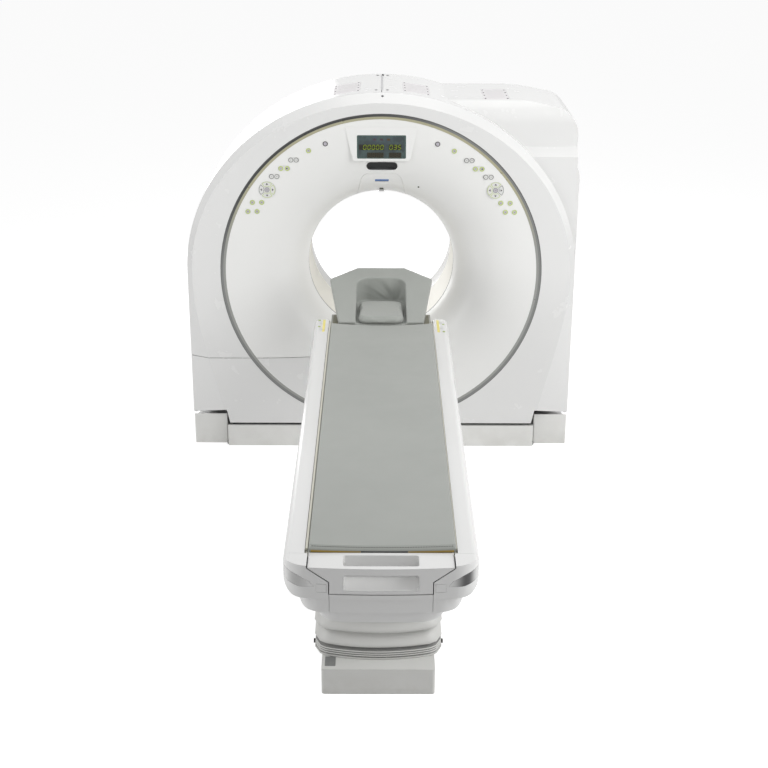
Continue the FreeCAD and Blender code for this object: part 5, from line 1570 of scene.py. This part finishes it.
@dataclass
class Bellows:
    """The pleated skirt between the table's base and its tray."""

    centre_x: float = -0.0085
    half: float = 0.241           # half width
    y0: float = -2.664            # foot end
    y1: float = -1.282            # head end
    corner: float = 0.050         # corner radius
    bow: float = 0.0445           # how far the ends bulge
    bottom: float = 0.1064
    top: float = 0.7066
    rim: float = 0.006            # height of the foot's rim
    groove: float = 0.003
    rim_depth: float = 0.007
    tight: int = 3                # small folds above the rim
    tight_pitch: float = 0.009
    # height, as a share of the pitch, and depth along a small fold
    tight_fold: tuple[Flat, ...] = ((0.2, 0.0030), (0.35, 0.0016), (0.5, 0.0013),
                                    (0.65, 0.0016), (0.8, 0.0030), (1.0, 0.005))
    wide: int = 9                 # large folds
    depth: float = 0.026
    skin: float = 0.0025
    # height and depth along a large fold, as shares
    fold: tuple[Flat, ...] = ((0.0, 1.0), (0.045, 0.80), (0.1, 0.5), (0.15, 0.28), (0.2, 0.12),
                              (0.25, 0.03), (0.3, 0.0), (0.37, 0.02), (0.45, 0.08),
                              (0.54, 0.18), (0.63, 0.31), (0.72, 0.45), (0.82, 0.64),
                              (0.91, 0.83), (1.0, 1.0))
    clip: Edges = (-0.003, 0.006, 0.005, 0.014)   # X from, X to, half length and height
    clip_in: float = 0.125                        # distance of a clip from the end

    def outline(self, inset: float) -> list[Flat]:
        """The skirt's outline seen from above.

        Args:
            inset: How far it is drawn in.

        Returns:
            The points.
        """
        half, corner = self.half - inset, self.corner
        y0, y1 = self.y0 + self.bow + inset, self.y1 - self.bow - inset
        points: list[Flat] = []
        for end, far, sign in ((y1, y0, 1), (y0, y1, -1)):
            run = []
            for i in range(25):
                x = half - 2 * half * i / 24
                drop = self.bow * (1 - (x / half) ** 2)
                side = max(0.0, abs(x) - (half - corner))
                drop -= corner - math.sqrt(max(0.0, corner ** 2 - side ** 2)) if side else 0.0
                run.append((self.centre_x + x, end + sign * drop))
            points += run[::sign]
            near, stop = end - sign * corner, far + sign * corner
            points += [(self.centre_x - sign * half, near + (stop - near) * k / 12)
                       for k in range(1, 12)]
        return points

    def build(self, shop: Workshop) -> None:
        """Makes the folds, the rim and the clips.

        Args:
            shop: The workshop.
        """
        z = self.bottom
        levels = [(z, 0.0), (z + self.rim * 0.5, -0.0004), (z + self.rim, 0.0),
                  (z + self.rim + 0.0005, self.rim_depth)]
        z += self.rim + self.groove
        levels.append((z, self.rim_depth))
        for _ in range(self.tight):
            levels += [(z + self.tight_pitch * share, depth) for share, depth in self.tight_fold]
            z += self.tight_pitch
        z += self.groove
        levels.append((z, self.depth))
        pitch = (self.top - z) / self.wide
        count = len(self.outline(0.0))
        points = [(x, y, z + share * pitch) for share, depth in self.fold
                  for x, y in self.outline(depth * self.depth)]
        folds = shop.folds.run("bellows_folds", points, faces=loop_faces(len(self.fold), count),
                               Count=self.wide, Pitch=pitch,
                               Skin_Finish=Finishes.BELLOWS.make(), sharp=60.0)
        foot = Shape()
        foot.add([(x, y, level) for level, depth in levels for x, y in self.outline(depth)],
                 loop_faces(len(levels), count))
        # painted shade: the deep parts of the small folds and the last groove take mid grey, the
        # groove above the rim dark grey
        for row, ((_, low), (_, high)) in enumerate(zip(levels, levels[1:])):
            shaded = row == len(levels) - 2 or (row > 3 and max(low, high) > 0.0031)
            foot.numbers[row * count:(row + 1) * count] = [2 if row == 3 else int(shaded)] * count
        rim = foot.piece("bellows_foot", [Finishes.BELLOWS, Finishes.FOLD_SHADE_PAINT, Finishes.LINE], 50,
                         outward=False)
        with bpy.context.temp_override(active_object=folds, selected_editable_objects=[folds, rim],
                                       object=folds, selected_objects=[folds, rim]):
            bpy.ops.object.join()
        folds.name = "bellows_skin"
        turn_outward(folds.data, 0.00005)
        modify(folds, "SOLIDIFY", thickness=self.skin, offset=-1.0)
        self.settle(folds.data)
        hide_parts("bellows")
        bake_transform(folds)
        log.info("built bellows_skin between base and table")
        clips = Shape()
        a0, a1, b, tall = self.clip
        for s in (-1, 1):
            x = self.centre_x + s * (self.half + 0.0005)
            for y in (self.y0 + self.clip_in, self.y1 - self.clip_in):
                clips.add([(x + s * a, y + c, 0.1066 + d) for d in (0.0, tall)
                           for a, c in ((a0, -b), (a1, -b), (a1, b), (a0, b))],
                          [(0, 1, 2, 3), (7, 6, 5, 4), *loop_faces(2, 4)])
        shop.ride(clips.piece("bellows_clips", [Finishes.BLACK]), "base", "trim_grey")

    def settle(self, mesh: Mesh) -> None:
        """Lets the wide folds sag a little, unevenly, without leaving their space.

        Args:
            mesh: The skirt's mesh.
        """
        start = self.bottom + self.rim + 2 * self.groove + self.tight * self.tight_pitch
        for vertex in mesh.vertices:
            x, y, z = vertex.co
            if z - start <= 0.002 or z > self.top - 0.002:
                continue
            hold = min(1.0, (z - start) / 0.02, (self.top - z) / 0.02)
            vertex.co.z += 0.0045 * hold * noise.noise(Vector((x * 5.0, y * 3.0, z * 9.0 + 3.1)))


@dataclass
class Mat:
    """The padded mat on the cradle, with its sewn hem at the foot end."""

    centre_x: float = 0.004
    half: float = 0.2352       # half width
    y0: float = -3.2316        # foot end
    y1: float = -1.0144        # head end
    low: float = 0.8667        # height of its underside at the edges
    thick: float = 0.0171
    dip: float = 0.0060        # how far the cradle's hollow lowers its middle
    board_half: float = 0.234
    hem: float = 0.0175
    # distances from each end at which the section is set closely
    foot_steps: tuple[float, ...] = (0.0, 0.0008, 0.002, 0.004, 0.007, 0.010, 0.0130, 0.0148,
                                     0.0160, 0.0168, 0.0175, 0.0183, 0.0192, 0.0205, 0.0225,
                                     0.026, 0.034, 0.045)
    head_steps: tuple[float, ...] = (0.034, 0.024, 0.015, 0.009, 0.005, 0.002, 0.0008, 0.0)
    # X from, X to and finish of the tapes under the foot edge
    tapes: tuple[tuple[float, float, int], ...] = (
        (-0.2245, -0.0650, 0), (-0.0642, 0.0855, 1), (0.0865, 0.2325, 0))

    def sag(self, x: float) -> float:
        """How far the mat hangs at a distance from its middle."""
        return self.dip * max(0.0, 1 - (x / self.board_half) ** 2)

    def section(self, y: float) -> list[Point]:
        """The mat's outline across the table.

        Args:
            y: Where along the table.

        Returns:
            The points, all round.
        """
        end = min(y - self.y0, self.y1 - y)
        squeeze = min(1.0, 0.55 + 0.45 * (max(end, 0.0) / 0.010) ** 0.5)
        if y - self.y0 < self.hem + 0.005:
            inside = abs(y - self.y0 - self.hem)
            squeeze *= 1 - 0.30 * math.exp(-(inside / 0.0017) ** 2)
        if y - self.y0 < self.hem:
            squeeze *= 1.07
        near = max(0.0, 1 - (self.y1 - y) / 0.08)
        top, bottom = [], []
        count = 56
        for i in range(count + 1):
            t = -1 + 2 * i / count
            x = math.copysign(1 - (1 - abs(t)) ** 1.35, t) * self.half
            edge = min(1.0, (self.half - abs(x)) / 0.010)
            bulge = math.sqrt(max(0.0, 1 - (1 - edge) ** 2))
            wave = 0.0005 * noise.noise(Vector((x * 6, y * 2.2, 0.7)))
            height = self.thick * squeeze * (0.5 + 0.5 * bulge)
            base = self.low - self.sag(x) + self.thick * 0.5 * (1 - bulge) * 0.9
            slip = y - 0.016 * near * (1 - (x / self.half) ** 2)
            top.append((self.centre_x + x, slip, base + height * (1 if bulge > 0 else 0.5)
                        + wave * bulge - 0.0006))
            bottom.append((self.centre_x + x, slip, base))
        return top + list(reversed(bottom[1:-1]))

    def build(self, shop: Workshop) -> None:
        """Makes the pad, the stitches of its hem and the tape under its edge.

        Args:
            shop: The workshop.
        """
        length = self.y1 - self.y0
        run = length - 0.115
        steps = [*self.foot_steps, *(0.07 + run * i / 149 for i in range(150)),
                 *(length - s for s in self.head_steps)]
        rows = [self.section(self.y0 + s) for s in steps]
        count = len(rows[0])
        shape = Shape()
        ends = [tuple(reversed(range(count))),
                tuple((len(rows) - 1) * count + i for i in range(count))]
        shape.add([p for row in rows for p in row], loop_faces(len(rows), count) + ends)
        pad = shape.piece("mat_pad", [Finishes.VINYL], 60)
        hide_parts("mat")
        shop.ride(pad, "cradle", "mat_vinyl")
        spread = [-self.half + 0.012 + (2 * self.half - 0.024) * i / 60 for i in range(61)]
        line = [(self.centre_x + x, self.y0 + self.hem * 0.5,
                 self.low - self.sag(x) + self.thick * 1.04 - 0.0002) for x in spread]
        sewn = shop.stitches.run("mat_stitches", line, edges=[(i, i + 1) for i in range(60)],
                                 Pitch=0.0082, Stitch_Length=0.0056, Thread_Radius=0.0015,
                                 Thread_Finish=Finishes.THREAD.make())
        shop.ride(sewn, "cradle", "mat_vinyl")
        tape, cells = Shape(), 12
        front, back = self.y0 - 0.0012, self.y0 + 0.0004
        for x0, x1, number in self.tapes:
            points = []
            for x in [x0 + (x1 - x0) * i / cells for i in range(cells + 1)]:
                z = self.low - self.sag(x - self.centre_x)
                points += [(x, back, z + 0.0005), (x, front, z + 0.0005), (x, front, z + 0.0072),
                           (x, back, z + 0.0072)]
            tape.add(points, bar_faces(cells + 1), number)
        shop.ride(tape.piece("mat_tape", [Finishes.TAPE, Finishes.BLACK]), "cradle",
                  "mat_vinyl")


@dataclass
class HeadRest:
    """The padded head rest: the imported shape, softened, with creases in its recess."""

    slope: float = 17.0            # degrees
    start_y: float = -1.010        # where it leaves the mat
    start_z: float = 0.884
    recess_half: float = 0.118     # half width of the recess
    recess_end: float = -0.655     # Y of its far wall
    voxel: float = 0.004

    def fold_depth(self, x: float, z: float) -> float:
        """Depth of the creases at a point of the recess.

        Args:
            x: X of the point.
            z: Z of the point.

        Returns:
            How far the skin is pushed towards the front and up.
        """
        rise = (z - 0.878) / 0.115
        if rise < 0.05 or abs(x) > self.recess_half + 0.002:
            return 0.0
        fan = (x - 0.062) / (0.20 + 0.90 * rise) + 0.05 * rise
        waves = math.sin(fan * 46.0 + 0.9) + 0.30 * math.sin(fan * 103.0 + 2.1)
        share = min(1.0, max(0.10, (x + 0.045) / 0.10))
        fade = math.sin(math.pi * min(1.0, max(0.0, rise)) * 0.92)
        return 0.0042 * waves * share * fade

    def build(self, shop: Workshop) -> None:
        """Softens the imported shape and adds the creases.

        Args:
            shop: The workshop.
        """
        piece = shop.soft_copy("head_rest", "head_rest_pad", self.voxel)
        modify(piece, "SMOOTH", factor=0.5, iterations=6)
        bake(piece)
        climb = math.tan(math.radians(self.slope))
        for vertex in piece.data.vertices:
            x, y, z = vertex.co
            below = self.start_z + (y - self.start_y) * climb - z
            if (abs(x) < self.recess_half and -0.004 < self.recess_end - y < 0.20 and z < 1.0
                    and below > 0.002):
                ease = min(1.0, below / 0.02) * min(1.0, (self.recess_half - abs(x)) / 0.02)
                push = self.fold_depth(x, z) * ease
                vertex.co.y -= push
                vertex.co.z += 0.5 * push
            vertex.co.z += 0.0007 * noise.noise(Vector((x * 9.0, y * 9.0, z * 9.0)))
        keep_inside(piece, *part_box("head_rest"))
        piece.data.materials.append(Finishes.VINYL.make())
        piece.data.shade_smooth()
        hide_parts("head_rest")
        shop.ride(piece, "cradle", "mat_vinyl")


@dataclass
class Pillow:
    """The small pillow in the recess, blown up as cloth."""

    voxel: float = 0.005
    start: float = 0.95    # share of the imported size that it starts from
    cap: float = 0.008     # how far a point may move
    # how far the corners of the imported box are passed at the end
    low_out: Point = (-0.001, -0.014, 0.0)
    high_out: Point = (0.001, 0.006, 0.009)

    def build(self, shop: Workshop) -> None:
        """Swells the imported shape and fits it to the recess.

        Args:
            shop: The workshop.
        """
        piece = shop.soft_copy("pillow", "pillow_pad", self.voxel, self.start)
        bake(piece)
        self.swell(piece)
        low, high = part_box("pillow")
        keep_inside(piece, low, high)
        modify(piece, "SMOOTH", factor=0.5, iterations=8)
        modify(piece, "SUBSURF", levels=1, render_levels=1)
        bake(piece)
        low, high = low + Vector(self.low_out), high + Vector(self.high_out)
        for axis in range(3):
            spread = [v.co[axis] for v in piece.data.vertices]
            least, most = min(spread), max(spread)
            for vertex in piece.data.vertices:
                vertex.co[axis] = low[axis] + (vertex.co[axis] - least) * (
                    high[axis] - low[axis]) / (most - least)
        piece.data.materials.append(Finishes.VINYL.make())
        piece.data.shade_smooth()
        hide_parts("pillow")
        shop.ride(piece, "cradle", "mat_vinyl")

    def swell(self, piece: Piece) -> None:
        """Runs the cloth with pressure and keeps its result.

        Args:
            piece: The pillow.
        """
        before = [v.co.copy() for v in piece.data.vertices]
        cloth = piece.modifiers.new("cloth", "CLOTH").settings
        cloth.use_pressure = True
        cloth.uniform_pressure_force = 4.0
        cloth.effector_weights.gravity = 0.0
        scene = bpy.context.scene
        for frame in range(1, 21):
            scene.frame_set(frame)
        bake(piece)
        scene.frame_set(1)
        for vertex, old in zip(piece.data.vertices, before):
            move = vertex.co - old
            if move.length > self.cap:
                vertex.co = old + move * (self.cap / move.length)


# --------------------------------------------------------------------- studio
@dataclass
class Studio:
    """Floor, lamps and camera."""

    eye: Point = (-0.00735, -7.196, 2.9855)
    tilt: float = 21.29      # degrees that the camera looks down
    pan: float = -0.0036     # radians
    roll: float = 0.004      # radians
    focal: float = 1401.4    # pixels of the 768-pixel frame
    reach: float = 90.0      # half side of the floor
    # name, place, aim, side of the square and watts of each lamp
    lamps: tuple[tuple[str, Point, Point, float, float], ...] = (
        ("key_lamp", (3.2, -3.0, 3.3), (0, -0.3, 1.0), 3.0, 96),
        ("top_lamp", (0.2, 0.2, 4.4), (0.0, 0.0, 0.9), 2.6, 28),
        ("back_lamp", (-1.6, 3.2, 1.3), (0.3, 0, 0.94), 2.2, 34),
        ("left_fill", (-2.9, -2.8, 1.9), (0.1, -0.1, 0.9), 2.4, 42),
        ("right_fill", (2.9, -3.2, 1.2), (0.3, -0.4, 0.6), 2.0, 14))

    def camera(self) -> None:
        """Sets the camera as the photograph's."""
        data = bpy.data.cameras.new("camera")
        data.sensor_width = 36.0
        data.lens = self.focal * 36.0 / 768
        seen = put("camera", data)
        turn = (Matrix.Rotation(self.pan, 4, "Z")
                @ Matrix.Rotation(math.radians(90 - self.tilt), 4, "X")
                @ Matrix.Rotation(self.roll, 4, "Z"))
        seen.matrix_world = Matrix.Translation(Vector(self.eye)) @ turn
        bpy.context.scene.camera = seen

    def light(self) -> None:
        """Adds the soft area lamps."""
        for name, place, aim, size, power in self.lamps:
            data = bpy.data.lights.new(name, "AREA")
            data.size = size
            data.energy = power
            made = put(name, data)
            made.location = place
            way = Vector(aim) - Vector(place)
            made.rotation_euler = way.to_track_quat("-Z", "Y").to_euler()

    def floor(self) -> None:
        """Lays a pale floor that looks white to the camera and keeps the shadow."""
        mesh = bpy.data.meshes.new("floor")
        r = self.reach
        mesh.from_pydata([(x, y, -0.0005) for x, y in ((-r, -r), (r, -r), (r, r), (-r, r))], [],
                         [(0, 1, 2, 3)])
        made = put("floor", mesh)
        paint = bpy.data.materials.new("floor_paint")
        paint.use_nodes = True
        wires = Wiring(paint.node_tree)
        shader = paint.node_tree.nodes["Principled BSDF"]
        wires.fill(shader, {"Base Color": (0.66, 0.66, 0.66, 1), "Roughness": 0.9,
                            "Specular IOR Level": 0.0})
        direct, mirrored = self.seen(wires)
        strength = wires.maths("ADD", wires.times(direct, 0.66), wires.times(mirrored, 0.35))
        glow = wires.node("ShaderNodeEmission", {"Strength": strength})
        both = wires.node("ShaderNodeAddShader", {0: shader.outputs[0], 1: glow.outputs[0]})
        pick = wires.node("ShaderNodeMixShader", {
            0: wires.maths("MAXIMUM", direct, mirrored), 1: shader.outputs[0],
            2: both.outputs[0]})
        wires.fill(paint.node_tree.nodes["Material Output"], {"Surface": pick.outputs[0]})
        mesh.materials.append(paint)

    def seen(self, wires: Wiring) -> tuple[Socket, Socket]:
        """Tells rays from the camera, and those that came by a mirror or through a film."""
        path = wires.node("ShaderNodeLightPath").outputs
        return path["Is Camera Ray"], wires.maths("MAXIMUM", path["Is Glossy Ray"],
                                                  path["Is Transmission Ray"])

    def sky(self) -> None:
        """Lights the scene softly all round, and looks white to the camera."""
        world = bpy.data.worlds.new("studio")
        bpy.context.scene.world = world
        world.use_nodes = True
        wires = Wiring(world.node_tree)
        seen = wires.maths("MAXIMUM", *self.seen(wires))
        wires.fill(world.node_tree.nodes["Background"], {
            "Color": (1, 1, 1, 1), "Strength": wires.maths("ADD", 0.45, wires.times(seen, 0.55))})

    def build(self) -> None:
        """Sets up everything."""
        self.camera()
        self.floor()
        self.sky()
        self.light()
        bpy.context.scene.view_settings.view_transform = "Standard"
        log.info("studio ready")


def main() -> None:
    """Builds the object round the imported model, class by class."""
    logging.basicConfig(level=logging.INFO, format="%(name)s: %(message)s")
    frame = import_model()
    shop = Workshop(frame["nodes"], ScrewMaker(), StitchMaker(), FoldMaker())
    Studio().build()
    covers, display, table = Covers(), Display(), TableBody()
    covers.dress(shop)
    covers.build(shop)
    Mechanics().dress(shop)
    display.dress(shop)
    display.build(shop)
    Sensors().build(shop)
    for side in Side:
        KeySet(side).build(shop)
    table.dress(shop)
    table.build(shop)
    Bellows().build(shop)
    Mat().build(shop)
    HeadRest().build(shop)
    Pillow().build(shop)
    log.info("all pieces built")


if __name__ == "__main__":
    main()
